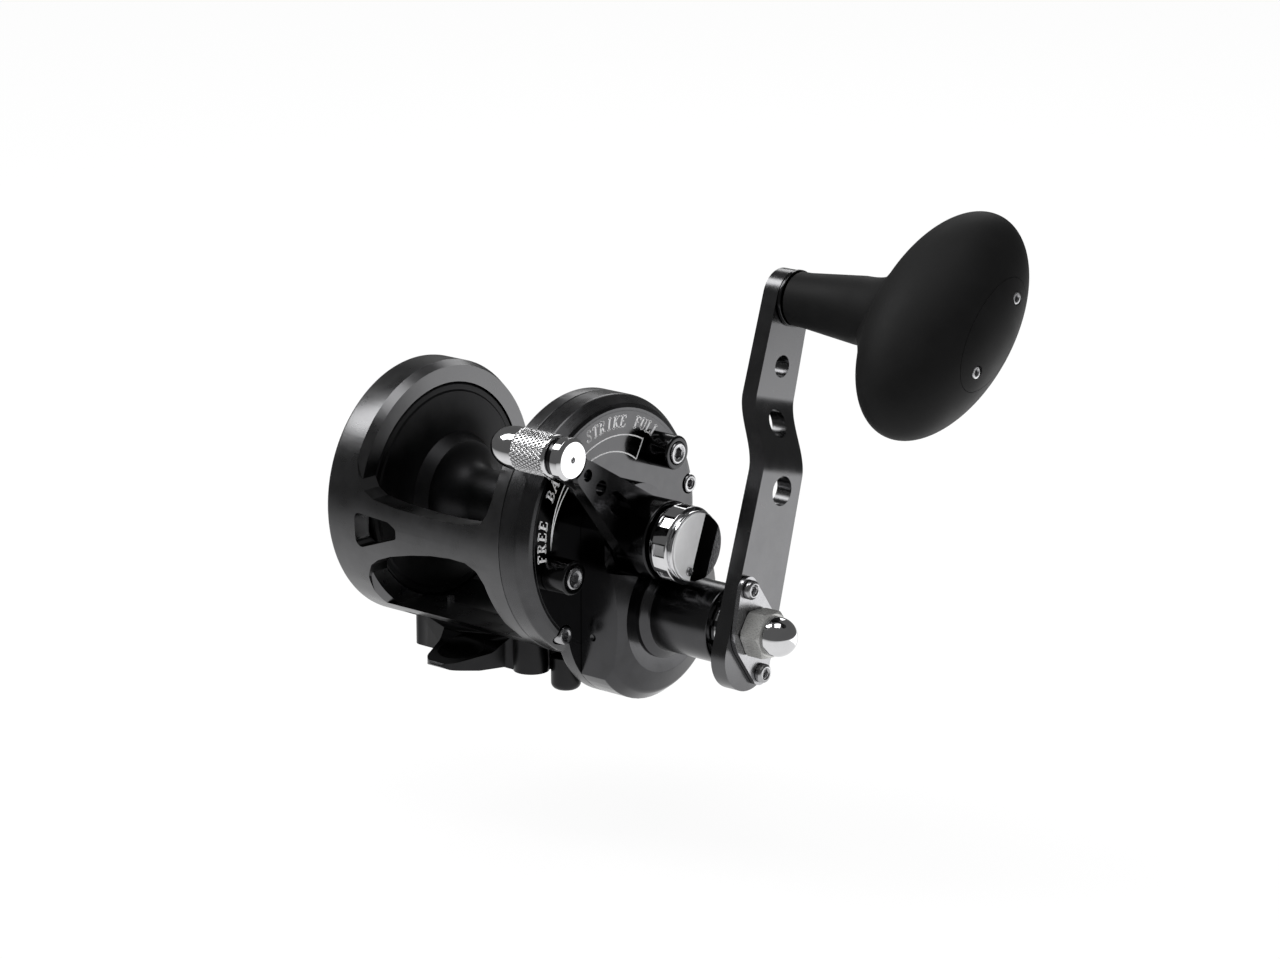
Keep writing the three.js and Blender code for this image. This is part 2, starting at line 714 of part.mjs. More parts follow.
function spindleSolid() {
  return turned([
    [xLeft + 2, 0],
    [xLeft + 2, spindleRadius],
    [xPreset + 3.4, spindleRadius],
    [xPreset + 3.8, spindleRadius - 0.4],
    [xPreset + 3.8, 0],
  ]);
}

function springWashers() {
  const x0 = xRightFace - 9.5;
  return turned([
    [x0, spindleRadius + play],
    [x0, 3.4],
    [x0 + 1.2, 3.6],
    [x0 + 2.4, 3.4],
    [x0 + 2.4, spindleRadius + play],
  ]);
}

// ---- Click -------------------------------------------------------------------------------------

const clickSlot = (x0, x1, radius) =>
  extruded("x", belt([clickY, 0], radius, [clickY + clickButton.travel, 0], radius, 8), x0, x1);

function clickWheelSolid() {
  const x1 = -xSpoolBack - seam;
  const x0 = x1 - clickWheel.width;
  const outline = teeth(clickWheel.teeth, clickWheel.radius, clickWheel.radius - 1.3);
  return cut(extruded("x", outline, x0, x1), rod(x0 - 1, x1 + 1, 7.4));
}

function clickButtonSolid() {
  const face = xLeft - seam;
  return turned([
    [face - clickButton.rise, 0],
    [face - clickButton.rise, clickButton.radius - 0.8],
    [face - clickButton.rise + 0.8, clickButton.radius],
    [face, clickButton.radius],
    [face, clickButton.stem],
    [xPawl - 0.2, clickButton.stem],
    [xPawl - 0.2, 0],
  ], clickY, 0);
}

function clickPawl() {
  const x0 = xPawl - clickPawlSize.thick;
  const { half } = clickPawlSize;
  const nose = clickY + clickPawlSize.nose;
  const plate = extruded("x", [
    [clickY - half, -half],
    [nose - 1, -half],
    [nose, -0.8],
    [nose, 0.8],
    [nose - 1, half],
    [clickY - half, half],
  ], x0, xPawl);
  return cut(plate, rod(x0 - 1, xPawl + 1, clickButton.stem + tight, clickY, 0));
}

// ---- Drag lever, drawn with its arm along +Y ----------------------------------------------------

function leverSolid() {
  const hub = turned([
    [xLeverBack - 0.6, pivotRadius + play],
    [xLeverBack - 0.6, leverHub],
    [xHubTop - 0.6, leverHub],
    [xHubTop, leverHub - 0.6],
    [xHubTop, spindleRadius + 1.2],
    [xHubTop - 3, spindleRadius + 1.2],
    [xHubTop - 3, pivotRadius + play],
  ]);
  const neck = leverLength - leverNeck;
  const armOutline = belt([2, 0], leverHub - 1.2, [neck, 0], leverWaist - 1.6, 10);
  const arm = extruded("x", armOutline, xLeverBack, xLeverFront, 0.5);
  const eyeOutline = belt([neck - 6, 0], leverWaist - 1.4, [leverLength, 0], leverEye.radius, 12);
  const eye = extruded("x", eyeOutline, xLeverBack, xLeverBack + leverEye.thick);
  const rib = box(
    xLeverBack - stopRib.drop, xLeverBack + 1, stopRib.from, stopRib.to, -stopRib.width / 2, stopRib.width / 2);
  const holes = leverHoles.map(({ at, radius }) => rod(xLeverBack - 6, xLeverFront + 1, radius, at, 0));
  const halfPocket = (leverPocket.length - leverPocket.width) / 2;
  const pocket = extruded("x", belt(
    [leverPocket.at - halfPocket, 0], leverPocket.width / 2,
    [leverPocket.at + halfPocket, 0], leverPocket.width / 2, 8),
  xLeverFront - leverPocket.depth, xLeverFront + over);
  const core = rod(xLeverBack - over, xHubTop - 3, pivotRadius + play);
  const eyeHole = rod(xLeverBack - over, xLeverFront, 1.5 + play, leverLength, 0);
  const discRoom = rod(xLeverBack + leverEye.thick, xLeverFront + over, bulletRadius + play, leverLength, 0);
  return cut(join(cut(arm, core), hub, eye, rib), ...holes, pocket, eyeHole, discRoom);
}

function dragCam() {
  return pipe(xBlock + 5, xBlock + 5 + 2.6, pivotRadius, spindleRadius + 0.9);
}

function leverKnob() {
  const x1 = xLeverBack - tight * 2;
  const bodyEnd = x1 - bullet.body;
  const nose = [];
  for (let i = 0; i <= 6; i++) {
    const t = i / 6;
    nose.push([bodyEnd - bullet.nose * t, bulletRadius * Math.sqrt(1 - t ** 2.2)]);
  }
  nose[6][1] = 0;
  return turned([
    [x1 - 4, 0],
    [x1 - 4, 1.8],
    [x1, 1.8],
    [x1, bulletRadius - 0.4],
    [x1 - 0.4, bulletRadius],
    ...nose,
  ], leverLength, 0);
}

function leverKnobScrew() {
  const x0 = xLeverBack + leverEye.thick + tight * 2;
  return turned([
    [x0, 0],
    [x0, bulletRadius],
    [x0 + bullet.cap - 0.9, bulletRadius],
    [x0 + bullet.cap, bulletRadius - 0.9],
    [x0 + bullet.cap, 0.9],
    [x0 + bullet.cap - 0.8, 0],
  ], leverLength, 0).add(rod(xLeverBack - 3.8, x0 + 1, 1.5, leverLength, 0));
}

// ---- Preset knob -------------------------------------------------------------------------------

function presetKnob() {
  const x1 = xPreset + preset.length;
  const body = turned([
    [xPreset, spindleRadius + 0.9],
    [xPreset, preset.radius - 0.6],
    [xPreset + 1.2, preset.radius - 0.6],
    [xPreset + 1.5, preset.radius],
    [x1 - 2.2, preset.radius],
    [x1 - 1.9, preset.face + 0.1],
    [x1 - 0.4, preset.face],
    [x1, preset.face - 0.5],
    [x1, 0],
    [xPreset + 4.6, 0],
    [xPreset + 4.6, spindleRadius + 0.9],
  ]);
  const notches = [];
  for (let i = 0; i < preset.notches; i++) {
    const half = preset.notch / 2;
    const floor = preset.radius - preset.notchDepth;
    const notch = box(xPreset + 2, x1 - 2.4, -half, half, floor, preset.radius + over);
    notches.push(notch.rotate([(360 * i) / preset.notches + 10, 0, 0]));
  }
  const wedge = extruded("z", [
    [x1 - 1, thumbFlat.from],
    [x1, thumbFlat.from],
    [x1 + thumbFlat.rise, thumbFlat.to],
    [x1 + thumbFlat.rise, far],
    [x1 - 1, far],
  ], -far, far).rotate([thumbFlat.turn, 0, 0]);
  const facet = wedge.intersect(rod(x1 - 1, x1 + thumbFlat.rise + 1, preset.face - 0.5));
  return join(cut(body, ...notches), facet);
}

function presetScrew() {
  const x0 = xPreset + preset.length + 0.1;
  return rod(x0, x0 + 0.6, 1.2, -0.8, thumbFlat.screwAt).rotate([thumbFlat.turn, 0, 0]);
}

// ---- Handle, drawn with the arm along +Z from the gear shaft ------------------------------------

function gearShaft() {
  return turned([
    [xTray - 1.2, 0],
    [xTray - 1.2, shaftRadius - 0.6],
    [xTray + 0.1, shaftRadius - 0.6],
    [xTray + 0.1, shaftRadius],
    [xNut + nut.height - 1, shaftRadius],
    [xNut + nut.height - 0.6, shaftRadius - 0.4],
    [xNut + nut.height - 0.6, 0],
  ]);
}

function shaftCollar() {
  const ring = pipe(xCollar, xCollar + collar.width, collar.radius, shaftRadius + tight);
  const notches = [];
  for (let i = 0; i < collar.notches; i++) {
    const notch = box(xCollar - 1, xCollar + 4, -0.8, 0.8, collar.radius - 1.1, collar.radius + 1);
    notches.push(notch.rotate([(360 * i) / collar.notches, 0, 0]));
  }
  return cut(ring, ...notches);
}

function handleArm() {
  const outline = belt([armRootOffset, -armTail], armRoot, [armOffset, armLength], armTip, 16);
  const plan = extruded("x", outline, 0, xArmFront + over);
  const front = [];
  for (let i = 0; i <= 10; i++) {
    const t = i / 10;
    const ease = t * t * (3 - 2 * t);
    front.push([xArmFront - armJog.shift * ease, armJog.from + (armJog.to - armJog.from) * t]);
  }
  const back = front.map(([x, z]) => [x - armThick, z]).reverse();
  const bottom = -armTail - armRoot - over;
  const top = armLength + armTip + over;
  const side = extruded("y", [
    [xArmBack, bottom],
    [xArmFront, bottom],
    ...front,
    [xArmFront - armJog.shift, top],
    [xArmBack - armJog.shift, top],
    ...back,
  ], -far, far);
  const holes = armHoles.map(({ at, radius }) => rod(0, xArmFront + over, radius, armOffset, at));
  const screwHoles = [-1, 1].map((end) => {
    const [y, z] = lockScrewPlace(end);
    return rod(xArmFront - 3, xArmFront + 1, lockScrewShank + play, y, z);
  });
  return cut(
    plan.intersect(side), ...holes, ...screwHoles,
    rod(0, xArmFront + over, shaftRadius + tight),
    rod(0, xArmFront + over, knob.pin + tight, armOffset, armLength),
  );
}

const lockScrewPlace = (end) => {
  const lean = deg(lock.tilt);
  return [-end * lock.screwAt * Math.sin(lean), end * lock.screwAt * Math.cos(lean)];
};

function lockPlate() {
  const wings = [-1, 1].map((end) =>
    extruded("x", belt([0, 0], lock.middle, lockScrewPlace(end), lock.end, 12), xLock, xLock + lock.thick));
  const holes = [-1, 1].map((end) => {
    const [y, z] = lockScrewPlace(end);
    return rod(xLock - 1, xLock + 3, lockScrewShank + play, y, z);
  });
  return cut(join(...wings), rod(xLock - 1, xLock + 3, shaftRadius + tight), ...holes);
}

function lockScrew(end) {
  const [y, z] = lockScrewPlace(end);
  const x0 = xLock + lock.thick + seam;
  const head = turned([
    [x0, 0],
    [x0, lock.screwHead],
    ...rounded(x0 + 0.5, lock.screwHead, x0 + lock.headHeight, lock.screwHead - 1.1, 3),
    [x0 + lock.headHeight, 0],
  ], y, z);
  return cut(
    join(head, rod(xArmFront - 2.6, x0 + 0.5, lockScrewShank, y, z)),
    rod(x0 + 0.7, x0 + 4, 1.3, y, z, 6),
  );
}

function handleNut() {
  const hexagon = [];
  for (let i = 0; i < 6; i++) hexagon.push(polar(nut.radius, 60 * i + nut.turn));
  const hex = extruded("x", hexagon, xNut, xNut + nut.height).intersect(turned([
    [xNut, 0],
    [xNut, nut.radius - 0.5],
    [xNut + 0.5, nut.radius],
    [xNut + nut.height - 0.5, nut.radius],
    [xNut + nut.height, nut.radius - 0.6],
    [xNut + nut.height, 0],
  ]));
  const domeFrom = xNut + nut.height + nut.domeRise;
  const dome = turned([
    [xNut + 1, 0],
    [xNut + 1, nut.dome],
    ...rounded(domeFrom, nut.dome, domeFrom + nut.dome, 0.01, 7).slice(0, -1),
    [domeFrom + nut.dome, 0],
  ]);
  return cut(join(hex, dome), rod(xNut - 1, xNut + nut.height - 0.3, shaftRadius + tight));
}

// The knob's pin, washer and grip are drawn about the pin's own axis.

function knobPin() {
  const back = xArmBack - armJog.shift;
  return turned([
    [back - 1.5, 0],
    [back - 1.5, 3.9],
    [back - 1.1, 4.3],
    [back - seam, 4.3],
    [back - seam, knob.pin],
    [xBall + 4, knob.pin],
    [xBall + 4, 0],
  ]);
}

const knobWasher = () => pipe(xKnob, xKnob + washer.thick, washer.radius, knob.pin + tight);

function ballSolid() {
  const sphere = new THREE.SphereGeometry(1, 24, 14);
  sphere.rotateZ(Math.PI / 2).scale(knob.deep, knob.long, knob.short);
  sphere.rotateX(deg(knob.tilt)).translate(xBall, 0, 0);
  return solid(sphere);
}

// An oval cone that blends the round stem into the ball.
function blendSolid() {
  const { from, to, start, end } = knob.blend;
  const points = [[xGrip + from, 0]];
  for (let i = 0; i <= 5; i++) {
    const t = i / 5;
    points.push([xGrip + from + (to - from) * t, start + (end - start) * t * t]);
  }
  points.push([xGrip + to, 0]);
  return turned(points, 0, 0, 28).scale([1, knob.long, knob.short]).rotate([knob.tilt, 0, 0]);
}

function capPrism(grow, from) {
  const points = [];
  for (let i = 0; i < 28; i++) {
    const t = (2 * Math.PI * i) / 28;
    points.push([(knobCap.long + grow) * Math.cos(t), (knobCap.short + grow) * Math.sin(t)]);
  }
  return extruded("x", points, from, xBall + knob.deep + over).rotate([knob.tilt, 0, 0]);
}

const capScrewPlace = (end) => polar(end * knobCap.screwAt, knob.tilt);

function knobGrip() {
  const flare = [];
  for (let i = 0; i <= 6; i++) {
    const t = i / 6;
    flare.push([xGrip + knob.stemLength + knob.flareLength * t, knob.stemEnd + knob.flareRise * t ** 2.6]);
  }
  const stem = turned([
    [xGrip, 0],
    [xGrip, knob.stem - 0.5],
    [xGrip + 0.5, knob.stem],
    ...flare,
    [flare[6][0], 0],
  ]);
  const holes = [-1, 1].map((end) => {
    const [y, z] = capScrewPlace(end);
    return rod(xCapFloor - 5, xCapFloor + 1, 0.8 + play, y, z);
  });
  return cut(
    join(stem, ballSolid(), blendSolid()),
    capPrism(0.15, xCapFloor),
    rod(xGrip - over, xBall + 5, knob.pin + 1.2),
    ...holes,
  );
}

function knobCapSolid() {
  const holes = [-1, 1].map((end) => {
    const [y, z] = capScrewPlace(end);
    return rod(xCapFloor, xBall + knob.deep + over, knobCap.screw + tight, y, z);
  });
  return cut(ballSolid().intersect(capPrism(0, xCapFloor + seam)), ...holes);
}

function capScrew(end) {
  const [y, z] = capScrewPlace(end);
  const drop = knob.deep * (1 - Math.sqrt(1 - (knobCap.screwAt / knob.long) ** 2));
  const top = xBall + knob.deep - drop - 0.15;
  return cut(
    join(rod(xCapFloor + 0.6, top, knobCap.screw, y, z), rod(xCapFloor - 4, xCapFloor + 1, 0.8, y, z)),
    rod(top - 0.8, top + 1, 0.9, y, z, 6),
  );
}

const knobBush = (x) => pipe(x, x + knob.bushWidth, knob.pin + 1.05, knob.pin + tight);

// ---- Assembly ----------------------------------------------------------------------------------

const reel = new THREE.Group();
const works = new THREE.Group();
works.position.z = axisHeight;
reel.add(works);

works.add(
  mesh("frame", frameSolid(), black),
  mesh("side_plate", sidePlate(), black),
  mesh("gear_cover", gearCover(), blackGloss),
  mesh("reel_foot", footSolid(), black),
  mesh("left_bearing_cap", leftCap(), blackGloss),
  mesh("clamp_stud", clampStud(), blackGloss),
);
footScrewPlaces().forEach(([x, y], i) => works.add(mesh(`foot_screw_${i + 1}`, footScrewSolid(x, y), steel)));
plateScrews.forEach((angle, i) => works.add(mesh(`plate_screw_${i + 1}`, plateScrewSolid(angle), steel)));
for (const [name, angle] of Object.entries(stopAngles)) {
  works.add(mesh(`${name}_stop`, stopPost(angle), blackGloss));
  works.add(mesh(`${name}_stop_screw`, stopScrewSolid(angle), steel));
}

// Bearings
works.add(
  mesh("shaft_bearing_inner", shaftRing(xPocketTop + play), steel),
  mesh("shaft_bearing_outer", shaftRing(xSleeve - shaftBearing.width), steel),
  mesh("pinion_bearing", pinionRing(), steel),
);

// Spool and drag
const spoolPart = mesh("spool", spoolSolid(), black);
const bearingX = xSpoolBack - 1.6 - spoolBearing.width;
works.add(
  spoolPart,
  mesh("spool_bearing_right", spoolRing(bearingX), steel),
  mesh("spool_bearing_left", spoolRing(-bearingX - spoolBearing.width), steel),
  mesh("drag_washer", dragWasher(), carbon),
  mesh("click_wheel", clickWheelSolid(), brass),
  mesh("drive_plate", drivePlate(), steel),
  mesh("pinion_gear", pinionSolid(), steel),
  mesh("spindle", spindleSolid(), steel),
  mesh("spring_washers", springWashers(), steel),
  mesh("click_button", clickButtonSolid(), blackGloss),
  mesh("click_pawl", clickPawl(), steel),
);

// Anti-reverse dogs: each nose reaches towards the gear shaft
dog.angles.forEach((angle, i) => {
  const made = mesh(`anti_reverse_dog_${i + 1}`, dogSolid(), steel);
  const [y, z] = dogPlace(angle);
  made.position.set(0, y, z);
  made.rotation.x = deg(angle + 90);
  works.add(made);
});

// Lever, turned to its rest angle about the spool axis
const lever = new THREE.Group();
lever.rotation.x = deg(leverAngle);
lever.add(
  mesh("drag_lever", leverSolid(), blackGloss),
  mesh("drag_cam", dragCam(), steel),
  mesh("lever_knob", leverKnob(), chrome),
  mesh("lever_knob_screw", leverKnobScrew(), chrome),
);
const presetGroup = new THREE.Group();
presetGroup.rotation.x = deg(preset.turn);
presetGroup.add(mesh("preset_knob", presetKnob(), chrome), mesh("preset_screw", presetScrew(), steel));
works.add(lever, presetGroup);

// Crank, on the gear shaft
const crank = new THREE.Group();
crank.position.set(0, gearY, gearZ);
crank.add(
  mesh("main_gear", mainGear(), brass),
  mesh("ratchet_wheel", ratchetWheel(), steel),
  mesh("gear_shaft", gearShaft(), steel),
  mesh("shaft_collar", shaftCollar(), chrome),
);
const handle = new THREE.Group();
handle.rotation.x = deg(-handleLean);
handle.add(
  mesh("handle_arm", handleArm(), black),
  mesh("lock_plate", lockPlate(), steel),
  mesh("lock_screw_1", lockScrew(1), steel),
  mesh("lock_screw_2", lockScrew(-1), steel),
  mesh("handle_nut", handleNut(), chrome),
);
const grip = new THREE.Group();
grip.position.set(0, armOffset, armLength);
grip.rotation.x = deg(handleLean);
grip.add(
  mesh("knob_pin", knobPin(), steel),
  mesh("knob_washer", knobWasher(), blackGloss),
  mesh("handle_knob", knobGrip(), softBlack),
  mesh("knob_cap", knobCapSolid(), softBlack),
  mesh("knob_cap_screw_1", capScrew(1), steel),
  mesh("knob_cap_screw_2", capScrew(-1), steel),
  mesh("knob_bush_inner", knobBush(xGrip + 1), brass),
  mesh("knob_bush_outer", knobBush(xBall - 1), brass),
);
handle.add(grip);
crank.add(handle);
works.add(crank);

export default reel;
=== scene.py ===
from math import acos, atan2, cos, hypot, pi, radians, sin, sqrt

import bpy
from mathutils import Matrix, Vector


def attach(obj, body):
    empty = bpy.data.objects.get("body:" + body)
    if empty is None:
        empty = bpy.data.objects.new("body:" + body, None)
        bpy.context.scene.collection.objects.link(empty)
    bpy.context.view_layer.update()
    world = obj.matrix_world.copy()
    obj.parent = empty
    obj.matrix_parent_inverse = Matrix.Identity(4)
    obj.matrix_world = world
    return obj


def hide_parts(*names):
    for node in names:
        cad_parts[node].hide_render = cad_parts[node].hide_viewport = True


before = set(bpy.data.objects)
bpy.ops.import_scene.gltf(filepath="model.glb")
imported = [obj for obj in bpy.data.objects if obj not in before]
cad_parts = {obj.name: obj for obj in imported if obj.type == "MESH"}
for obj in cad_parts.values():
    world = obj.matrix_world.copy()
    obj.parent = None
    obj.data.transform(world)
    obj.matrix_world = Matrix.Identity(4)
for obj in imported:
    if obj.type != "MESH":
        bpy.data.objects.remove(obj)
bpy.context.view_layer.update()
print("frame loaded:", len(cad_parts), "nodes")

mm = 0.001
spoolAxis = 41.0  # height of the spool's axis over the foot, in mm
gearAxis = (6.514, -21.85)  # y and z of the handle's axis, from the spool's axis
clear = 0.15  # gap kept between neighbours
shaftHole = 3.72  # radius of what sits on the handle's shaft
far = 80  # past everything, for cutters

# The places along the spool's axis, in mm.
along = {
    "left": -35.3, "leftFace": -23.6, "rightFace": 23.6, "seam": 28.0, "rim": 35.0, "face": 37.1,
    "block": 45.5, "shoulder": 51.0, "sleeve": 72.5, "lever": 46.5, "hub": 56.9, "preset": 57.8,
    "arm": 74.6, "armFront": 79.4, "lock": 79.55, "nut": 81.0, "grip": 73.8, "ball": 120.9,
}


# Camera, floor and light

studio = {
    "cameraAt": (0.7491, -0.8304, 0.3551),
    "looking": (-0.6228, 0.7361, -0.2651),
    "up": (-0.1712, 0.2024, 0.9642),
    "lens": 119.25,
    "floorHeight": -0.045,
    "floorRadius": 6,
    "paper": 0.9,
    "paperGlow": 0.9,  # share of the floor that the camera sees as plain white
    "background": 1.0,
    "glow": 0.95,  # the floor's bright patch, as polished metal sees it
    "above": 0.12,  # how bright the studio is over the horizon, as polished metal sees it
    "glowAt": (0.16, 0.2, 0),
    "glowNear": 0.38,
    "glowFar": 0.72,
    "fill": 0.85,
}


def makeCamera():
    bpy.ops.object.camera_add(location=studio["cameraAt"])
    camera = bpy.context.object
    back = -Vector(studio["looking"]).normalized()
    right = Vector(studio["up"]).cross(back).normalized()
    turned = Matrix((right, back.cross(right), back)).transposed()
    camera.rotation_euler = turned.to_euler()
    camera.data.lens = studio["lens"]
    camera.data.clip_start, camera.data.clip_end = 0.01, 50
    bpy.context.scene.camera = camera


def addNode(tree, kind, **values):
    node = tree.nodes.new(kind)
    for name, value in values.items():
        if hasattr(node, name):
            setattr(node, name, value)
        else:
            node.inputs[name.replace("_", " ")].default_value = value
    return node


def mixShaders(tree, share, first, second):
    mix = addNode(tree, "ShaderNodeMixShader")
    for place, source in enumerate((share, first.outputs[0], second.outputs[0])):
        tree.links.new(source, mix.inputs[place])
    return mix


def makeWorld():
    # white behind the object, darker where a mirror would see it
    world = bpy.data.worlds.new("studioWorld")
    world.use_nodes = True
    tree = world.node_tree
    tree.nodes.clear()
    path = addNode(tree, "ShaderNodeLightPath")
    fill, mirrored, seen = [
        addNode(tree, "ShaderNodeBackground", Color=(1, 1, 1, 1), Strength=studio[part])
        for part in ("fill", "above", "background")]
    withMirror = mixShaders(tree, path.outputs["Is Glossy Ray"], fill, mirrored)
    withView = mixShaders(tree, path.outputs["Is Camera Ray"], withMirror, seen)
    out = addNode(tree, "ShaderNodeOutputWorld")
    tree.links.new(withView.outputs[0], out.inputs[0])
    bpy.context.scene.world = world


def makeFloor():
    bpy.ops.object.select_all(action="DESELECT")
    bpy.ops.mesh.primitive_circle_add(vertices=96, radius=studio["floorRadius"], fill_type="NGON",
                                      location=(0, 0, studio["floorHeight"]))
    floor = bpy.context.object
    floor.name = "studioFloor"
    paper, tree, shader = newFinish("palePaper", (studio["paper"],) * 3, 0.0, 0.95)
    path = addNode(tree, "ShaderNodeLightPath")
    white = addNode(tree, "ShaderNodeEmission", Color=(1, 1, 1, 1), Strength=1.0)
    share = mathNode(tree, "MULTIPLY", path.outputs["Is Camera Ray"], studio["paperGlow"])
    withView = mixShaders(tree, share, shader, white)
    # polished metal sees the floor white near the object and dark further off
    point = addNode(tree, "ShaderNodeTexCoord")
    reach = addNode(tree, "ShaderNodeVectorMath", operation="DISTANCE")
    reach.inputs[1].default_value = studio["glowAt"]
    tree.links.new(point.outputs["Object"], reach.inputs[0])
    fade = ranged(tree, reach.outputs["Value"], studio["glow"], studio["above"],
                  studio["glowNear"], studio["glowFar"])
    mirrored = addNode(tree, "ShaderNodeEmission", Color=(1, 1, 1, 1))
    tree.links.new(fade, mirrored.inputs["Strength"])
    withMirror = mixShaders(tree, path.outputs["Is Glossy Ray"], withView, mirrored)
    tree.links.new(withMirror.outputs[0], tree.nodes["Material Output"].inputs[0])
    floor.data.materials.append(paper)


softboxes = {
    "overhead": {"at": (0.1, -0.1, 1.1), "facing": (0.03, 0, 0.045), "size": (0.5, 0.5), "power": 3},
    "upperLeft": {"at": (-0.56, -0.26, 0.7), "facing": (0.0, 0, 0.045), "size": (0.3, 0.5), "power": 3.6},
    "behind": {"at": (-0.5, 0.9, 0.7), "facing": (0.03, 0, 0.045), "size": (0.5, 0.5), "power": 2},
    "lowCard": {"at": (0.27, 0.36, -0.04), "facing": (0.27, 0.36, 1), "size": (0.36, 0.5), "power": 0.8},
}


def makeSoftboxes():
    for name, box in softboxes.items():
        bpy.ops.object.light_add(type="AREA", location=box["at"])
        lamp = bpy.context.object
        lamp.name = name
        lamp.data.shape = "RECTANGLE"
        lamp.data.size, lamp.data.size_y = box["size"]
        lamp.data.energy = box["power"]
        lamp.visible_camera = False
        aim = Vector(box["facing"]) - Vector(box["at"])
        lamp.rotation_euler = aim.to_track_quat("-Z", "Y").to_euler()


# Finishes

def newFinish(name, color, metallic, roughness):
    material = bpy.data.materials.new(name)
    material.use_nodes = True
    tree = material.node_tree
    shader = tree.nodes["Principled BSDF"]
    shader.inputs["Base Color"].default_value = (*color, 1)
    shader.inputs["Metallic"].default_value = metallic
    shader.inputs["Roughness"].default_value = roughness
    return material, tree, shader


def objectPoint(tree, offset=(0, 0, 0), scale=(1, 1, 1)):
    point = addNode(tree, "ShaderNodeTexCoord")
    mapping = addNode(tree, "ShaderNodeMapping")
    mapping.inputs["Location"].default_value = offset
    mapping.inputs["Scale"].default_value = scale
    tree.links.new(point.outputs["Object"], mapping.inputs["Vector"])
    return mapping.outputs[0]


def noiseAt(tree, vector, scale, detail=3.0, rough=0.55):
    noise = addNode(tree, "ShaderNodeTexNoise")
    noise.inputs["Scale"].default_value = scale
    noise.inputs["Detail"].default_value = detail
    noise.inputs["Roughness"].default_value = rough
    tree.links.new(vector, noise.inputs["Vector"])
    return noise.outputs["Fac"]


def ranged(tree, value, low, high, fromLow=0.3, fromHigh=0.7):
    step = addNode(tree, "ShaderNodeMapRange")
    for place, number in ((1, fromLow), (2, fromHigh), (3, low), (4, high)):
        step.inputs[place].default_value = number
    tree.links.new(value, step.inputs[0])
    return step.outputs[0]


def mathNode(tree, operation, first, second):
    node = addNode(tree, "ShaderNodeMath", operation=operation)
    for place, value in enumerate((first, second)):
        if isinstance(value, (int, float)):
            node.inputs[place].default_value = value
        else:
            tree.links.new(value, node.inputs[place])
    return node.outputs[0]


def blendColors(tree, share, dark, light):
    mix = addNode(tree, "ShaderNodeMix", data_type="RGBA")
    mix.inputs[6].default_value = (*dark, 1)
    mix.inputs[7].default_value = (*light, 1)
    tree.links.new(share, mix.inputs[0])
    return mix.outputs[2]


def cloudColor(tree, shader, cloud, dark, light):
    tree.links.new(blendColors(tree, ranged(tree, cloud, 0, 1), dark, light), shader.inputs["Base Color"])


def bumpFrom(tree, height, strength, distance, under=None):
    bump = addNode(tree, "ShaderNodeBump", Strength=strength, Distance=distance)
    tree.links.new(height, bump.inputs["Height"])
    if under is not None:
        tree.links.new(under, bump.inputs["Normal"])
    return bump.outputs[0]


def radiusFrom(tree, centre):
    # distance from an axis that runs along X, in metres
    point = objectPoint(tree, offset=(0, -centre[0] * mm, -(centre[1] + spoolAxis) * mm), scale=(0, 1, 1))
    length = addNode(tree, "ShaderNodeVectorMath", operation="LENGTH")
    tree.links.new(point, length.inputs[0])
    return length.outputs["Value"]


def turningMarks(tree, centre, pitch):
    # fine concentric lathe lines round the axis
    radius = radiusFrom(tree, centre)
    point = addNode(tree, "ShaderNodeTexCoord")
    split = addNode(tree, "ShaderNodeSeparateXYZ")
    tree.links.new(point.outputs["Object"], split.inputs[0])
    both = addNode(tree, "ShaderNodeCombineXYZ")
    tree.links.new(mathNode(tree, "MULTIPLY", radius, 1 / pitch), both.inputs[0])
    tree.links.new(mathNode(tree, "MULTIPLY", split.outputs[0], 1 / pitch), both.inputs[1])
    return noiseAt(tree, both.outputs[0], 1.0, 2.0, 0.6)


makeCamera()
makeWorld()
makeFloor()
makeSoftboxes()
bpy.context.scene.view_settings.view_transform = "Standard"
print("studio made")


# Anodised aluminium: a dark metal whose gloss wavers a little, with blasted grain or lathe lines.
anodised = {
    "frameBlack": {"dark": (0.1, 0.1, 0.102), "light": (0.125, 0.125, 0.128),
                   "rough": (0.26, 0.34), "grain": 0.05},
    "plateBlack": {"dark": (0.068, 0.068, 0.07), "light": (0.085, 0.085, 0.088),
                   "rough": (0.24, 0.32), "grain": 0.04, "axis": (0, 0)},
    "dialBlack": {"dark": (0.06, 0.06, 0.062), "light": (0.07, 0.07, 0.072),
                  "rough": (0.10, 0.15), "grain": 0.0, "axis": (0, 0)},
    "coverBlack": {"dark": (0.06, 0.06, 0.062), "light": (0.075, 0.075, 0.078),
                   "rough": (0.16, 0.24), "grain": 0.03, "axis": gearAxis},
    "leverBlack": {"dark": (0.035, 0.035, 0.036), "light": (0.045, 0.045, 0.047),
                   "rough": (0.14, 0.22), "grain": 0.02},
    "armBlack": {"dark": (0.1, 0.1, 0.103), "light": (0.12, 0.12, 0.123),
                 "rough": (0.2, 0.28), "grain": 0.05},
    "spoolBlack": {"dark": (0.02, 0.02, 0.021), "light": (0.03, 0.03, 0.031),
                   "rough": (0.42, 0.5), "grain": 0.02, "axis": (0, 0)},
    "footBlack": {"dark": (0.026, 0.026, 0.027), "light": (0.034, 0.034, 0.035),
                  "rough": (0.3, 0.4), "grain": 0.07},
}
lathePitch = 0.00016  # metres between lathe lines


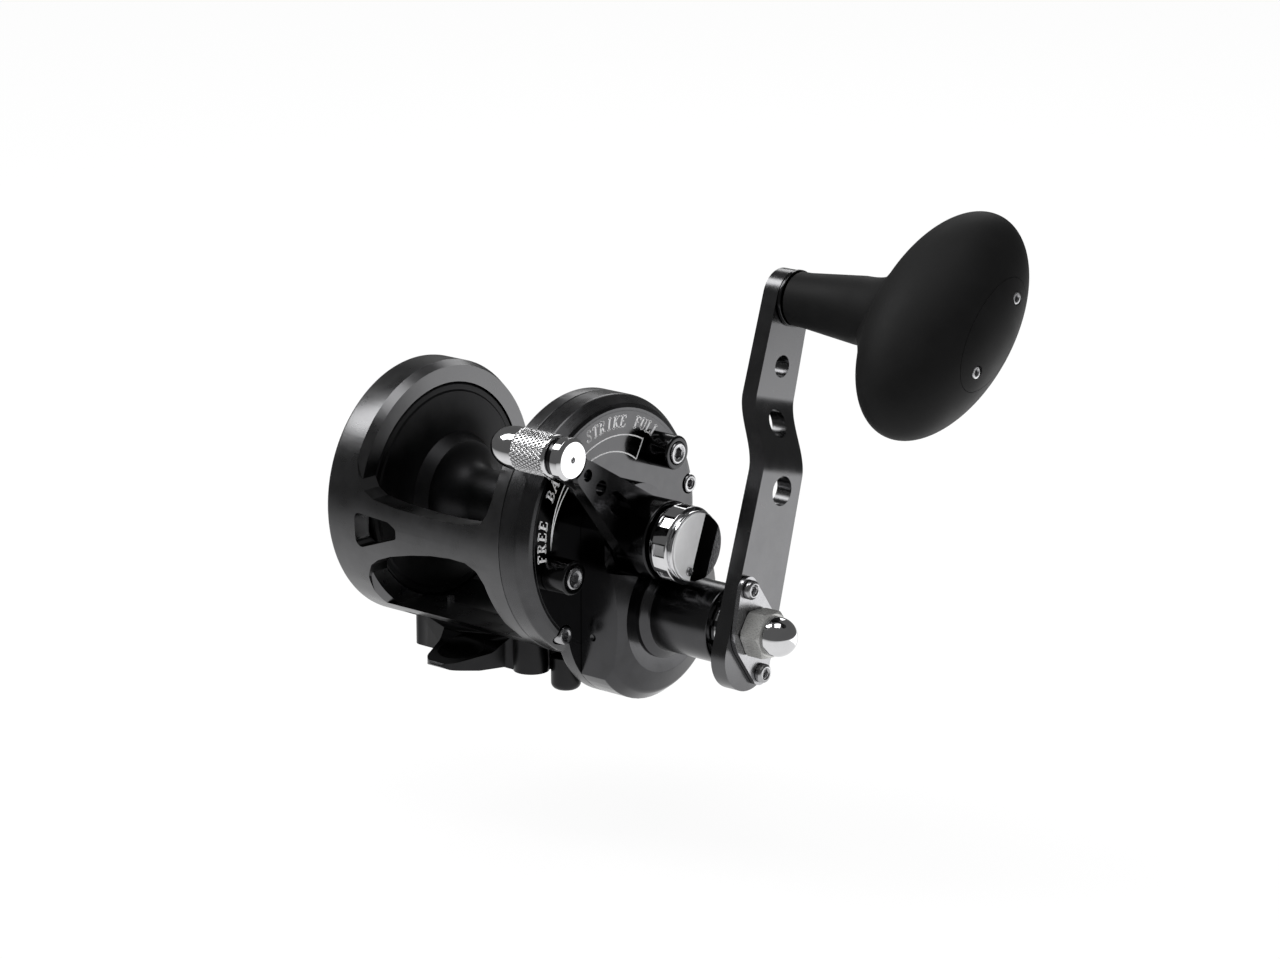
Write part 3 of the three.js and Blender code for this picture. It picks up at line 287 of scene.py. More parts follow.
def makeAnodised(name, look):
    material, tree, shader = newFinish(name, look["light"], 1.0, sum(look["rough"]) / 2)
    cloud = noiseAt(tree, objectPoint(tree), 160, 4)
    cloudColor(tree, shader, cloud, look["dark"], look["light"])
    grain = noiseAt(tree, objectPoint(tree), 5200, 2)
    gloss = ranged(tree, cloud, look["rough"][0], look["rough"][1])
    if "axis" in look:
        rings = turningMarks(tree, look["axis"], lathePitch)
        gloss = mathNode(tree, "ADD", gloss, ranged(tree, rings, -0.03, 0.03))
        normal = bumpFrom(tree, rings, 0.05, 0.00002)
    else:
        normal = bumpFrom(tree, cloud, 0.03, 0.00005)
    tree.links.new(gloss, shader.inputs["Roughness"])
    if look["grain"]:
        normal = bumpFrom(tree, grain, look["grain"], 0.00002, normal)
    tree.links.new(normal, shader.inputs["Normal"])
    return material


def makeChrome():
    material, tree, shader = newFinish("polishedChrome", (0.68, 0.68, 0.69), 1.0, 0.07)
    haze = noiseAt(tree, objectPoint(tree), 220, 4)
    scuff = noiseAt(tree, objectPoint(tree, scale=(1, 8, 8)), 900, 2)
    tree.links.new(ranged(tree, haze, 0.04, 0.1), shader.inputs["Roughness"])
    cloudColor(tree, shader, haze, (0.64, 0.64, 0.65), (0.71, 0.71, 0.72))
    tree.links.new(bumpFrom(tree, scuff, 0.006, 0.00001), shader.inputs["Normal"])
    return material


def makeSteel(name, color, rough, stretch, metallic=1.0):
    # brushed or machined steel: fine lines drawn out along one direction
    material, tree, shader = newFinish(name, color, metallic, rough)
    lines = noiseAt(tree, objectPoint(tree, scale=stretch), 900, 3)
    cloud = noiseAt(tree, objectPoint(tree), 140, 3)
    darker = tuple(value * 0.86 for value in color)
    tree.links.new(ranged(tree, lines, rough - 0.06, rough + 0.08), shader.inputs["Roughness"])
    cloudColor(tree, shader, cloud, darker, color)
    tree.links.new(bumpFrom(tree, lines, 0.06, 0.00002), shader.inputs["Normal"])
    return material


def makeSoftGrip():
    material, tree, shader = newFinish("softGrip", (0.005, 0.005, 0.0052), 0.0, 0.7)
    shader.inputs["Specular IOR Level"].default_value = 0.2
    pores = noiseAt(tree, objectPoint(tree), 3800, 3, 0.6)
    cloud = noiseAt(tree, objectPoint(tree), 90, 3)
    tree.links.new(ranged(tree, cloud, 0.58, 0.68), shader.inputs["Roughness"])
    cloudColor(tree, shader, cloud, (0.004, 0.004, 0.0042), (0.006, 0.006, 0.0062))
    tree.links.new(bumpFrom(tree, pores, 0.16, 0.00006), shader.inputs["Normal"])
    return material


def makeFibre():
    material, tree, shader = newFinish("dragFibre", (0.03, 0.03, 0.032), 0.0, 0.6)
    weave = addNode(tree, "ShaderNodeTexChecker")
    weave.inputs["Scale"].default_value = 900
    weave.inputs["Color1"].default_value = (0.02, 0.02, 0.022, 1)
    weave.inputs["Color2"].default_value = (0.05, 0.05, 0.053, 1)
    tree.links.new(objectPoint(tree), weave.inputs["Vector"])
    tree.links.new(weave.outputs["Color"], shader.inputs["Base Color"])
    tree.links.new(bumpFrom(tree, weave.outputs["Fac"], 0.2, 0.00005), shader.inputs["Normal"])
    return material


def makePaint():
    material, tree, shader = newFinish("dialPaint", (0.86, 0.86, 0.87), 0.0, 0.5)
    speck = noiseAt(tree, objectPoint(tree), 2600, 2)
    cloudColor(tree, shader, speck, (0.82, 0.82, 0.83), (0.9, 0.9, 0.91))
    tree.links.new(bumpFrom(tree, speck, 0.1, 0.00002), shader.inputs["Normal"])
    return material


steels = {
    "satinSteel": {"color": (0.33, 0.33, 0.34), "rough": 0.26, "stretch": (1, 14, 1)},
    "screwSteel": {"color": (0.42, 0.42, 0.43), "rough": 0.26, "stretch": (1, 3, 3)},
    "machinedSteel": {"color": (0.55, 0.55, 0.56), "rough": 0.3, "stretch": (6, 1, 1)},
    "gearBrass": {"color": (0.62, 0.46, 0.2), "rough": 0.32, "stretch": (6, 1, 1)},
    "satinFace": {"color": (0.86, 0.86, 0.87), "rough": 0.34, "stretch": (1, 6, 6), "metallic": 0.3},
    "nutSteel": {"color": (0.4, 0.4, 0.39), "rough": 0.28, "stretch": (1, 6, 6), "metallic": 0.5},
}

finishes = {name: makeAnodised(name, look) for name, look in anodised.items()}
finishes.update({name: makeSteel(name, **look) for name, look in steels.items()})
finishes["chrome"] = makeChrome()
finishes["softGrip"] = makeSoftGrip()
finishes["dragFibre"] = makeFibre()
finishes["dialPaint"] = makePaint()
print("finishes made:", len(finishes))


# Drawing with the modelling tools. Lengths are in mm, measured from the middle of the spool.

def at(x, y, z):
    return Vector((x * mm, y * mm, (z + spoolAxis) * mm))


def polar(radius, degrees, centre=(0, 0)):
    return centre[0] + radius * cos(radians(degrees)), centre[1] + radius * sin(radians(degrees))


def startPiece(name):
    bpy.ops.object.select_all(action="DESELECT")
    bpy.ops.mesh.primitive_plane_add(size=mm)
    piece = bpy.context.object
    piece.name = piece.data.name = name
    bpy.ops.object.mode_set(mode="EDIT")
    bpy.ops.mesh.merge(type="CENTER")
    return piece


def drawLine(points):
    bpy.ops.transform.translate(value=points[0])
    for first, second in zip(points, points[1:]):
        bpy.ops.mesh.extrude_region_move(TRANSFORM_OT_translate={"value": second - first})


def mendFaces():
    bpy.ops.mesh.select_all(action="SELECT")
    bpy.ops.mesh.remove_doubles(threshold=0.000002)
    bpy.ops.mesh.normals_make_consistent(inside=False)
    bpy.ops.object.mode_set(mode="OBJECT")


def rounded(points, closed=False, steps=5):
    # corners given as (a, b, radius) become arcs
    line = []
    count = len(points)
    for i, point in enumerate(points):
        here = Vector(point[:2])
        radius = point[2] if len(point) > 2 else 0
        inner = closed or 0 < i < count - 1
        if not radius or not inner:
            line.append(tuple(here))
            continue
        before = Vector(points[i - 1][:2]) - here
        after = Vector(points[(i + 1) % count][:2]) - here
        half = before.angle(after) / 2
        back = radius / (sin(half) / cos(half))
        start, end = here + before.normalized() * back, here + after.normalized() * back
        middle = here + (before.normalized() + after.normalized()).normalized() * (radius / sin(half))
        first = atan2(*(start - middle).yx)
        sweep = (atan2(*(end - middle).yx) - first + pi) % (2 * pi) - pi
        for k in range(steps + 1):
            angle = first + sweep * k / steps
            line.append((middle.x + radius * cos(angle), middle.y + radius * sin(angle)))
    return line


def turnPiece(name, profile, centre=(0, 0), steps=96):
    # a profile of (x, radius) spun about an axis along X
    piece = startPiece(name)
    drawLine([at(x, centre[0], centre[1] + r) for x, r in profile])
    bpy.ops.mesh.select_all(action="SELECT")
    bpy.ops.mesh.spin(steps=steps, angle=2 * pi, center=at(0, *centre), axis=(1, 0, 0))
    mendFaces()
    return piece


def platePiece(name, outline, start, end, plane="yz"):
    # an outline filled and pushed through: in y, z along X, in x, z along Y, or in x, y along Z
    places = {
        "yz": (lambda a, b: at(start, a, b), (1, 0, 0)),
        "xz": (lambda a, b: at(a, start, b), (0, 1, 0)),
        "xy": (lambda a, b: at(a, b, start), (0, 0, 1)),
    }
    place, direction = places[plane]
    piece = startPiece(name)
    points = [place(a, b) for a, b in outline]
    drawLine([*points, points[0]])
    bpy.ops.mesh.select_all(action="SELECT")
    bpy.ops.mesh.remove_doubles(threshold=0.000002)
    bpy.ops.mesh.edge_face_add()
    bpy.ops.mesh.extrude_region_move(
        TRANSFORM_OT_translate={"value": Vector(direction) * (end - start) * mm})
    mendFaces()
    return piece


def ballPiece(name, radii, centre, segments):
    # an ellipsoid from its half sizes along x, y and z
    bpy.ops.object.select_all(action="DESELECT")
    bpy.ops.mesh.primitive_uv_sphere_add(segments=segments, ring_count=segments // 2, radius=mm)
    ball = bpy.context.object
    ball.name = ball.data.name = name
    bpy.ops.transform.resize(value=radii)
    bpy.ops.transform.translate(value=at(*centre))
    bpy.ops.object.transform_apply(location=True, scale=True)
    return ball


def boxOutline(low, high, corner=0, steps=5):
    (a, b), (c, d) = low, high
    return rounded([(a, b, corner), (c, b, corner), (c, d, corner), (a, d, corner)], True, steps)


def circleOutline(radius, centre=(0, 0), sides=48, phase=0.0):
    return [polar(radius, phase + 360 * i / sides, centre) for i in range(sides)]


def beltOutline(first, firstRadius, second, secondRadius, steps=24):
    # the line round two circles
    gap = hypot(second[0] - first[0], second[1] - first[1])
    heading = atan2(second[1] - first[1], second[0] - first[0])
    lean = acos((firstRadius - secondRadius) / gap)
    line = []
    for centre, radius, begin, finish in (
            (first, firstRadius, heading + lean, heading + 2 * pi - lean),
            (second, secondRadius, heading - lean, heading + lean)):
        for i in range(steps + 1):
            angle = begin + (finish - begin) * i / steps
            line.append((centre[0] + radius * cos(angle), centre[1] + radius * sin(angle)))
    return line


def rodPiece(start, end, radius, centre=(0, 0), sides=48):
    return platePiece("cutter", circleOutline(radius, centre, sides), start, end)


def slotOutline(centre, length, width, degrees, steps=10):
    reach, half = (length - width) / 2, width / 2
    return beltOutline(polar(reach, degrees + 180, centre), half, polar(reach, degrees, centre), half, steps)


def onlySelect(piece):
    bpy.ops.object.select_all(action="DESELECT")
    piece.select_set(True)
    bpy.context.view_layer.objects.active = piece


def applyModifier(piece, kind, **values):
    onlySelect(piece)
    bpy.ops.object.modifier_add(type=kind)
    modifier = piece.modifiers[-1]
    for name, value in values.items():
        setattr(modifier, name, value)
    bpy.ops.object.modifier_apply(modifier=modifier.name)


def combine(piece, other, operation):
    applyModifier(piece, "BOOLEAN", operation=operation, solver="EXACT", object=other)
    bpy.data.objects.remove(other)
    return piece


def cutFrom(piece, *cutters):
    for cutter in cutters:
        combine(piece, cutter, "DIFFERENCE")
    return piece


def joinTo(piece, *others):
    for other in others:
        combine(piece, other, "UNION")
    return piece


def keepInside(piece, other):
    return combine(piece, other, "INTERSECT")


def softenEdges(piece, width, segments=2, angle=32):
    applyModifier(piece, "BEVEL", width=width * mm, segments=segments, limit_method="ANGLE",
                  angle_limit=radians(angle), use_clamp_overlap=True, miter_outer="MITER_ARC")


def turnAbout(piece, degrees, centre=(0, 0)):
    # turned about an axis along X, anticlockwise seen from the handle side
    spot = at(0, *centre)
    piece.data.transform(Matrix.Translation(spot) @ Matrix.Rotation(radians(degrees), 4, "X")
                         @ Matrix.Translation(-spot))
    return piece


def finishPiece(piece, finish, body, nodes, smooth=35, weighted=True):
    onlySelect(piece)
    piece.data.materials.clear()
    piece.data.materials.append(finishes[finish])
    bpy.ops.object.shade_smooth_by_angle(angle=radians(smooth))
    if weighted:
        applyModifier(piece, "WEIGHTED_NORMAL", keep_sharp=True, weight=80)
    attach(piece, body)
    if nodes:
        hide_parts(*nodes)
    return piece


# Frame: a turned shell opened between its two rings, with a cross bar at the rear and one at the front

frameShape = {
    "radius": 36, "bore": 30.1, "capBore": 8.05, "leftWall": 3.7, "leftRound": 1.3,
    "chamfer": 2.6, "chamferDepth": 1.3, "lip": 0.4, "footFlat": -31.2, "ledge": -28.4, "ledgeHalf": 24,
    "edge": 0.35, "barDepth": 18, "windowDepth": 24, "clickSlot": ((-16.85, 0), 7.7, 3.2),
    "rearBarTop": [(-27, 17, 0), (-24.2, 10.5, 2), (-21.5, 7.2, 0), (-18, 5.5, 0), (-9.5, 4.5, 0),
                   (3, 4.0, 0), (10, 4.05, 0), (16, 4.4, 0), (20.8, 5.1, 2.6), (23.1, 8.5, 0), (24.6, 16, 0)],
    "rearBarBottom": [(26, -30, 0), (22.7, -23.5, 0), (21.8, -15.8, 0), (21.2, -11.3, 0), (19.3, -7.9, 2),
                      (15.5, -6.1, 0), (10, -5.9, 0), (3, -6.5, 0), (-4.7, -7.9, 0), (-12.7, -9.9, 0),
                      (-17.8, -11.9, 0), (-21.3, -14.2, 2), (-24.4, -18.5, 0), (-27, -27, 0)],
    "frontBarTop": [(-26, 0), (-23, -5.6), (-18, -7.4), (-9, -8), (9, -8), (18, -7.4), (23, -5.6), (26, 0)],
    "frontBarBottom": [(26, -27), (23, -19.8), (18, -17.6), (9, -17), (-9, -17), (-18, -17.6), (-23, -19.8),
                       (-26, -27)],
    "window": [(-24.9, -7.6, 1.8), (-24.4, 0.9, 1.5), (-12.2, 0.2, 1.5), (-9.3, -1.4, 1.2), (-9.4, -4.2, 1.0),
               (-23.6, -9.3, 1.6)],
}


def makeFrame():
    shape = frameShape
    left, seam, radius, bore = along["left"], along["seam"], shape["radius"], shape["bore"]
    leftFace, rightFace = along["leftFace"], along["rightFace"]
    wall, out = left + shape["leftWall"], radius + 3
    shell = turnPiece("reelFrame", rounded([
        (left, shape["capBore"]), (left, radius, shape["leftRound"]), (seam, radius, 0.25), (seam, bore, 0.2),
        (wall, bore, 1.2), (wall, shape["capBore"]), (left, shape["capBore"])]), steps=160)
    room = turnPiece("roomCutter", [
        (leftFace, 0), (leftFace, radius - shape["chamferDepth"]),
        (leftFace - shape["chamfer"], radius + 0.05), (leftFace - shape["chamfer"], out),
        (rightFace + shape["lip"], out), (rightFace + shape["lip"], radius + 0.02),
        (rightFace, radius - shape["lip"]), (rightFace, 0)], steps=160)
    rearBar = platePiece("rearBar", rounded(shape["rearBarTop"] + shape["rearBarBottom"], True),
                         -out - 4, -shape["barDepth"], "xz")
    frontBar = platePiece("frontBar", rounded(shape["frontBarTop"] + shape["frontBarBottom"], True),
                          shape["barDepth"], out + 4, "xz")
    half, below = shape["ledgeHalf"], -out - 4
    bottom = boxOutline((-half, below), (half, shape["ledge"]))
    bottomBar = platePiece("bottomBar", bottom, left - 2, seam + 2)
    cutFrom(room, rearBar, frontBar, bottomBar)
    flat = platePiece("footFlat", boxOutline((-out, below), (out, shape["footFlat"])), leftFace, rightFace)
    window = platePiece("window", rounded(shape["window"], True), below, -shape["windowDepth"], "xz")
    clickSlot = platePiece("clickSlot", slotOutline(*shape["clickSlot"], 0), left - 2, wall + 2)
    cutFrom(shell, room, flat, window, clickSlot)
    softenEdges(shell, shape["edge"], 3, 40)
    return finishPiece(shell, "frameBlack", "frame", ["frame"], 12, False)


# Side plate: a turned disc with the gear case's lobe behind it

plateShape = {"radius": 36, "faceRadius": 33.3, "lobe": 25.5, "lobeBack": 3.95, "screwCircle": 32.4,
              "screws": (10, 140, 232), "screwSeat": 2.9, "driveRoom": 27.6, "driveDepth": 3.2,
              "spindleHole": 4.4, "dial": 31.9, "dialLift": 0.03}


def makeSidePlate():
    shape = plateShape
    start, rim, face, edge = along["seam"] + clear, along["rim"], along["face"], shape["faceRadius"]
    disc = turnPiece("sidePlate", rounded([
        (start, 0), (start, shape["radius"], 0.25), (rim - 1.2, shape["radius"], 1.6),
        (face - 0.25, edge + 0.5, 0.6), (face + 0.05, edge - 0.6, 0.3), (face, edge - 1.2), (face, 0)],
        steps=6), steps=160)
    back = start + shape["lobeBack"]
    joinTo(disc, turnPiece("caseLobe", rounded([
        (back, 0), (back, shape["lobe"], 1.4), (face, shape["lobe"]), (face, 0)]), gearAxis, 128))
    for angle in shape["screws"]:
        spot = polar(shape["screwCircle"], angle)
        cutFrom(disc, rodPiece(rim - 0.9, face + 3, shape["screwSeat"], spot))
    # the drive plate's hollow, seen only with the plate off
    cutFrom(disc, rodPiece(start - 1, along["seam"] + shape["driveDepth"], shape["driveRoom"], sides=96))
    cutFrom(disc, rodPiece(start - 1, face - 1.5, shape["spindleHole"]))
    softenEdges(disc, 0.18, 2, 40)
    return finishPiece(disc, "plateBlack", "frame", ["side_plate"])


def makeDialFace():
    # the glossy inlay on the plate's outer face, which carries the drag scale
    shape, face = plateShape, along["face"]
    top = face + shape["dialLift"]
    disc = turnPiece("dialFace", [
        (face - 0.05, 0), (face - 0.05, shape["dial"]), (top, shape["dial"] - 0.1), (top, 0)], steps=160)
    for angle in shape["screws"]:
        spot = polar(shape["screwCircle"], angle)
        cutFrom(disc, rodPiece(face - 1, face + 1, shape["screwSeat"] + 0.15, spot))
    return finishPiece(disc, "dialBlack", "frame", [])


# Gear case: a flat-sided block with a stepped round shoulder and the sleeve round the handle's shaft

caseShape = {"side": -13.3, "topRadius": 13.6, "lobe": 25.5, "shoulder": 17.2, "step": 13.0, "sleeve": 10.7,
             "mouth": 6.6, "mouthDepth": 4.3, "hubRoom": 11.6, "pivot": 7.0, "pivotHeight": 4.6,
             "gearRoom": 19.0, "gearRoomEnd": 43.2, "spindleHole": 2.6, "shaftHole": 3.9,
             "dimple": 1.5, "dimpleAt": (41.3, -14.4, -27),
             # room for the drag lever's arm: its turn at the forward stop, and its outline
             "leverStop": 175.5, "leverRoom": ((0, 0), 10.8, (34.8, 0), 5.4)}


def sliceSide(piece, start, end):
    side = boxOutline((caseShape["side"], -far), (far, far))
    return keepInside(piece, platePiece("sideCut", side, start, end))


def makeGearCase():
    shape = caseShape
    start, top, ledge, lobe = along["face"] + clear, along["block"], along["shoulder"], shape["lobe"]
    block = platePiece("gearCase", beltOutline((0, 0), shape["topRadius"], gearAxis, lobe, 40), start, top)
    sliceSide(block, start - 1, top + 1)
    shoulder = turnPiece("caseShoulder", rounded([
        (start + 1, 0), (start + 1, lobe), (top, lobe, 0.8), (top + 3.2, lobe - 2.4, 3),
        (ledge, shape["shoulder"], 0.6), (ledge, shape["step"] + 0.2), (ledge, 0)], steps=6), gearAxis, 128)
    sliceSide(shoulder, start - 1, ledge + 1)
    room = platePiece("leverRoom", beltOutline(*shape["leverRoom"], 32), along["lever"] - 0.3, far)
    cutFrom(shoulder, turnAbout(room, shape["leverStop"]))
    joinTo(block, shoulder)
    end, mouth = along["sleeve"], along["sleeve"] - shape["mouthDepth"]
    joinTo(block, turnPiece("shaftSleeve", rounded([
        (top, 0), (top, shape["step"]), (ledge + 0.8, shape["step"], 0.5),
        (ledge + 2.2, shape["sleeve"], 0.8), (end, shape["sleeve"], 0.5), (end, shape["mouth"], 0.3),
        (mouth, shape["mouth"]), (mouth, 0)]),
        gearAxis, 96))
    cutFrom(block, rodPiece(top, far, shape["hubRoom"], sides=96))
    joinTo(block, rodPiece(top - 1, top + shape["pivotHeight"], shape["pivot"], sides=64))
    cutFrom(block, rodPiece(start - 1, shape["gearRoomEnd"], shape["gearRoom"], gearAxis, 96))
    cutFrom(block, rodPiece(start + 1, end - 2.5, shape["spindleHole"]),
            rodPiece(start + 1, end - 2.5, shape["shaftHole"], gearAxis))
    cutFrom(block, ballPiece("dimple", (shape["dimple"],) * 3, shape["dimpleAt"], 32))
    softenEdges(block, 0.4, 3, 40)
    return finishPiece(block, "coverBlack", "frame", ["gear_cover"])


makeFrame()
makeSidePlate()
makeDialFace()
makeGearCase()
print("frame, side plate and gear case made")


# Foot and what hangs beside it

footShape = {
    "top": -31.35, "base": -41.0, "left": -23.3, "right": 21.9, "half": 15.3, "corner": 3,
    "boss": (18, 12, 4.9), "rootAt": 9.3, "rootHalf": 12.5, "reach": 31, "tipRadius": 6.5,
    "scoop": (7.2, 7.4, 3.2), "scoopAt": (21.6, 5.6),
    "screws": ((-14, -9.5), (-14, 9.5), (14, -9.5), (14, 9.5)), "screwSeat": 2.7, "screwDepth": 2.6,
    # the tongue seen from the side: how far out, how far over the base, and the corner's radius
    "tongue": [(13.0, 0), (22, 0, 4), (29.6, 1.2, 1.2), (31, 2.1, 0.3), (30.4, 2.9, 0.4), (25, 3.6, 4),
               (18.3, 4.5, 4), (15.6, 6.8, 1), (13.0, 7.2)],
}


def makeTongue(side):
    shape = footShape
    base = shape["base"]
    outline = [(side * y, base + z, *corner) for y, z, *corner in shape["tongue"]]
    tongue = platePiece("tongue", rounded(outline, True), -20, 20)
    root, tip = (0, side * shape["rootAt"]), (0, side * (shape["reach"] - shape["tipRadius"]))
    plan = beltOutline(root, shape["rootHalf"], tip, shape["tipRadius"], 32)
    keepInside(tongue, platePiece("tonguePlan", plan, base - 2, shape["top"], "xy"))
    softenEdges(tongue, 0.5, 3, 35)
    # the scooped oval pocket on the top
    y, z = shape["scoopAt"]
    return cutFrom(tongue, ballPiece("scoop", shape["scoop"], (0, side * y, base + z), 64))


def makeFoot():
    shape = footShape
    base, top, half = shape["base"], shape["top"], shape["half"]
    plan = boxOutline((shape["left"], -half), (shape["right"], half), shape["corner"], 8)
    block = platePiece("reelFoot", plan, base, top, "xy")
    x, y, radius = shape["boss"]
    for side in (-1, 1):
        joinTo(block, platePiece("boss", circleOutline(radius, (x, side * y), 64), base, top, "xy"))
    softenEdges(block, 0.6, 3, 40)
    for side in (-1, 1):
        joinTo(block, makeTongue(side))
    for spot in shape["screws"]:
        seat = circleOutline(shape["screwSeat"], spot)
        cutFrom(block, platePiece("cutter", seat, base - 2, base + shape["screwDepth"], "xy"))
    return finishPiece(block, "footBlack", "frame", ["reel_foot"])


studShape = {"at": (26.3, -7.2), "top": -36.3, "length": 9.4, "radius": 4.1, "nose": 1.8,
             "shank": 1.3, "shankHeight": 3}


def makeStud():
    # a plain stud for the rod clamp, beside the foot
    shape = studShape
    (x, y), top, radius, shank = shape["at"], shape["top"], shape["radius"], shape["shank"]
    high, end = top + shape["shankHeight"], top - shape["length"]
    stud = startPiece("clampStud")
    drawLine([at(x + r, y, z) for r, z in rounded([
        (0, high), (shank, high), (shank, top), (radius, top, 0.3), (radius, end, shape["nose"]), (0, end)])])
    bpy.ops.mesh.select_all(action="SELECT")
    bpy.ops.mesh.spin(steps=64, angle=2 * pi, center=at(x, y, 0), axis=(0, 0, 1))
    mendFaces()
    return finishPiece(stud, "footBlack", "frame", ["clamp_stud"])


capShape = {"radius": 10.2, "height": 1.6, "groove": (6.6, 9.0), "grooveDepth": 0.4,
            "seat": 7.88, "seatDepth": 3, "bore": 2.6, "boreFrom": 1, "holes": 4.2, "hole": 0.8}


def makeLeftCap():
    shape, left = capShape, along["left"]
    face = left - shape["height"]
    floor, (inner, outer) = face + shape["grooveDepth"], shape["groove"]
    cap = turnPiece("leftCap", rounded([
        (face, 0), (face, inner, 0.3), (floor, inner + 0.6, 0.3), (floor, outer - 0.6, 0.3),
        (face, outer, 0.3), (face, shape["radius"], 0.5),
        (left - clear, shape["radius"]), (left - clear, shape["seat"]),
        (left + shape["seatDepth"], shape["seat"]), (left + shape["seatDepth"], shape["bore"]),
        (left + shape["boreFrom"], shape["bore"]), (left + shape["boreFrom"], 0)]), steps=96)
    for turn in (0, 180):
        cutFrom(cap, rodPiece(left - 3, left - 0.8, shape["hole"], polar(shape["holes"], turn)))
    return finishPiece(cap, "plateBlack", "frame", ["left_bearing_cap"])


makeFoot()
makeStud()
makeLeftCap()
print("foot made")


# Socket-head screws, with their hexagon sockets

def socketScrew(name, start, head, top, depth, socket, spot, rim=0.4, shank=1.2, end=None):
    # start: the head's seat; end: where the shank stops
    end = start - 3 if end is None else end
    screw = turnPiece(name, rounded([
        (end, 0), (end, shank), (start, shank), (start, head, 0.1), (top, head, rim), (top, 0)],
        steps=4), spot, 48)
    cone = turnPiece("countersink", [
        (top - 0.35, 0), (top - 0.35, socket * 0.98), (top + 0.2, socket * 1.45), (top + 0.2, 0)], spot, 48)
    cutFrom(screw, cone, platePiece("socket", circleOutline(socket, spot, 6, 12), top - depth, top + 1))
    softenEdges(screw, 0.06, 2, 45)
    return screw


plateScrewShape = {"head": 2.5, "height": 3.6, "socket": 1.3, "socketDepth": 1.3, "rim": 0.5, "sunk": 0.85}


def makePlateScrews():
    shape = plateScrewShape
    seat = along["rim"] - shape["sunk"]
    for number, angle in enumerate(plateShape["screws"], 1):
        spot = polar(plateShape["screwCircle"], angle)
        screw = socketScrew(f"plateScrew{number}", seat, shape["head"], seat + shape["height"],
                            shape["socketDepth"], shape["socket"], spot, shape["rim"], end=along["seam"] - 2)
        finishPiece(screw, "screwSteel", "frame", [f"plate_screw_{number}"])


stopShape = {"radius": 4.7, "height": 7.4, "circle": 25.6, "places": {"upper": 45.8, "lower": 196.4},
             "bore": 1.6, "seat": 3.25, "seatDepth": 1.6, "head": 3.0, "proud": 0.5,
             "socket": 1.75, "socketDepth": 1.4}


def makeStops():
    shape, start = stopShape, along["face"] + clear
    top, radius, bore = start + shape["height"], shape["radius"], shape["bore"]
    floor = top - shape["seatDepth"]
    for name, angle in shape["places"].items():
        spot = polar(shape["circle"], angle)
        post = turnPiece(f"{name}Stop", rounded([
            (start, bore), (start, radius, 0.2), (top, radius, 0.6), (top, shape["seat"], 0.1),
            (floor, shape["seat"]), (floor, bore), (start, bore)], steps=5), spot, 64)
        finishPiece(post, "leverBlack", "frame", [f"{name}_stop"])
        screw = socketScrew(f"{name}StopScrew", floor + clear, shape["head"], top + shape["proud"],
                            shape["socketDepth"], shape["socket"], spot, 0.45, 1.3, along["face"] - 2)
        finishPiece(screw, "screwSteel", "frame", [f"{name}_stop_screw"])


makePlateScrews()
makeStops()
print("screws and lever stops made")


# Spool: deep flanges that sweep down to a narrow arbor

spoolShape = {
    "rim": 29.7, "back": 26.2, "hub": 14.7, "arbor": 8.0, "arborHalf": 8.6, "sweepFrom": 8.9, "sweep": 8.1,
    "bearing": 6.52, "bearingDepth": 5.4, "bore": 3.8, "knotHole": 1.1, "knotAt": (0, -3.5),
    "flange": [(20.6, 16.6), (21.9, 19.2), (22.7, 22.5), (23.1, 25.4), (23.25, 27.4), (23.6, 27.9),
               (23.65, 29.3)],
}


def makeSpool():
    shape = spoolShape
    back, rim, bearing = shape["back"], shape["rim"], shape["bearing"]
    hub, arbor = shape["hub"], shape["arbor"]
    side = [(shape["arborHalf"], arbor)]
    for i in range(1, 11):
        angle = pi / 2 * i / 10
        side.append((shape["sweepFrom"] + shape["sweep"] * sin(angle),
                     hub - (hub - arbor) * cos(angle) ** 1.3))
    side += shape["flange"]
    step = back - 1.6
    right = side + [(shape["flange"][-1][0] + 0.3, rim), (back - 0.3, rim), (back, rim - 0.3),
                    (back, 12), (step, 11), (step, bearing), (back - shape["bearingDepth"], bearing),
                    (back - shape["bearingDepth"], shape["bore"])]
    left = [(-x, r) for x, r in reversed(right)]
    spool = turnPiece("lineSpool", left + [(0, arbor)] + right + [left[0]], steps=160)
    cutFrom(spool, platePiece("knotHole", circleOutline(shape["knotHole"], shape["knotAt"], 24), 0, 40, "xz"))
    return finishPiece(spool, "spoolBlack", "spool", ["spool"], 28)


# Drag lever: a hub, a tapered arm with a pocket and two holes, and an eye for its knob

leverShape = {
    "turn": 139.5, "hub": 10.8, "bore": 7.3, "spindle": 3.5, "length": 43, "thick": 4.4, "neck": 8.2,
    "waist": 3.8, "eye": 5.0, "eyeThick": 1.6, "eyeRoom": 6.1, "screwHole": 1.75,
    "rib": ((20, -3), (29, 3)), "ribDepth": 4.6,
    "pocket": ((17.6, 0), 10.5, 5.4), "pocketDepth": 1.9, "holes": ((27.5, 2.1), (34.4, 1.7)),
}


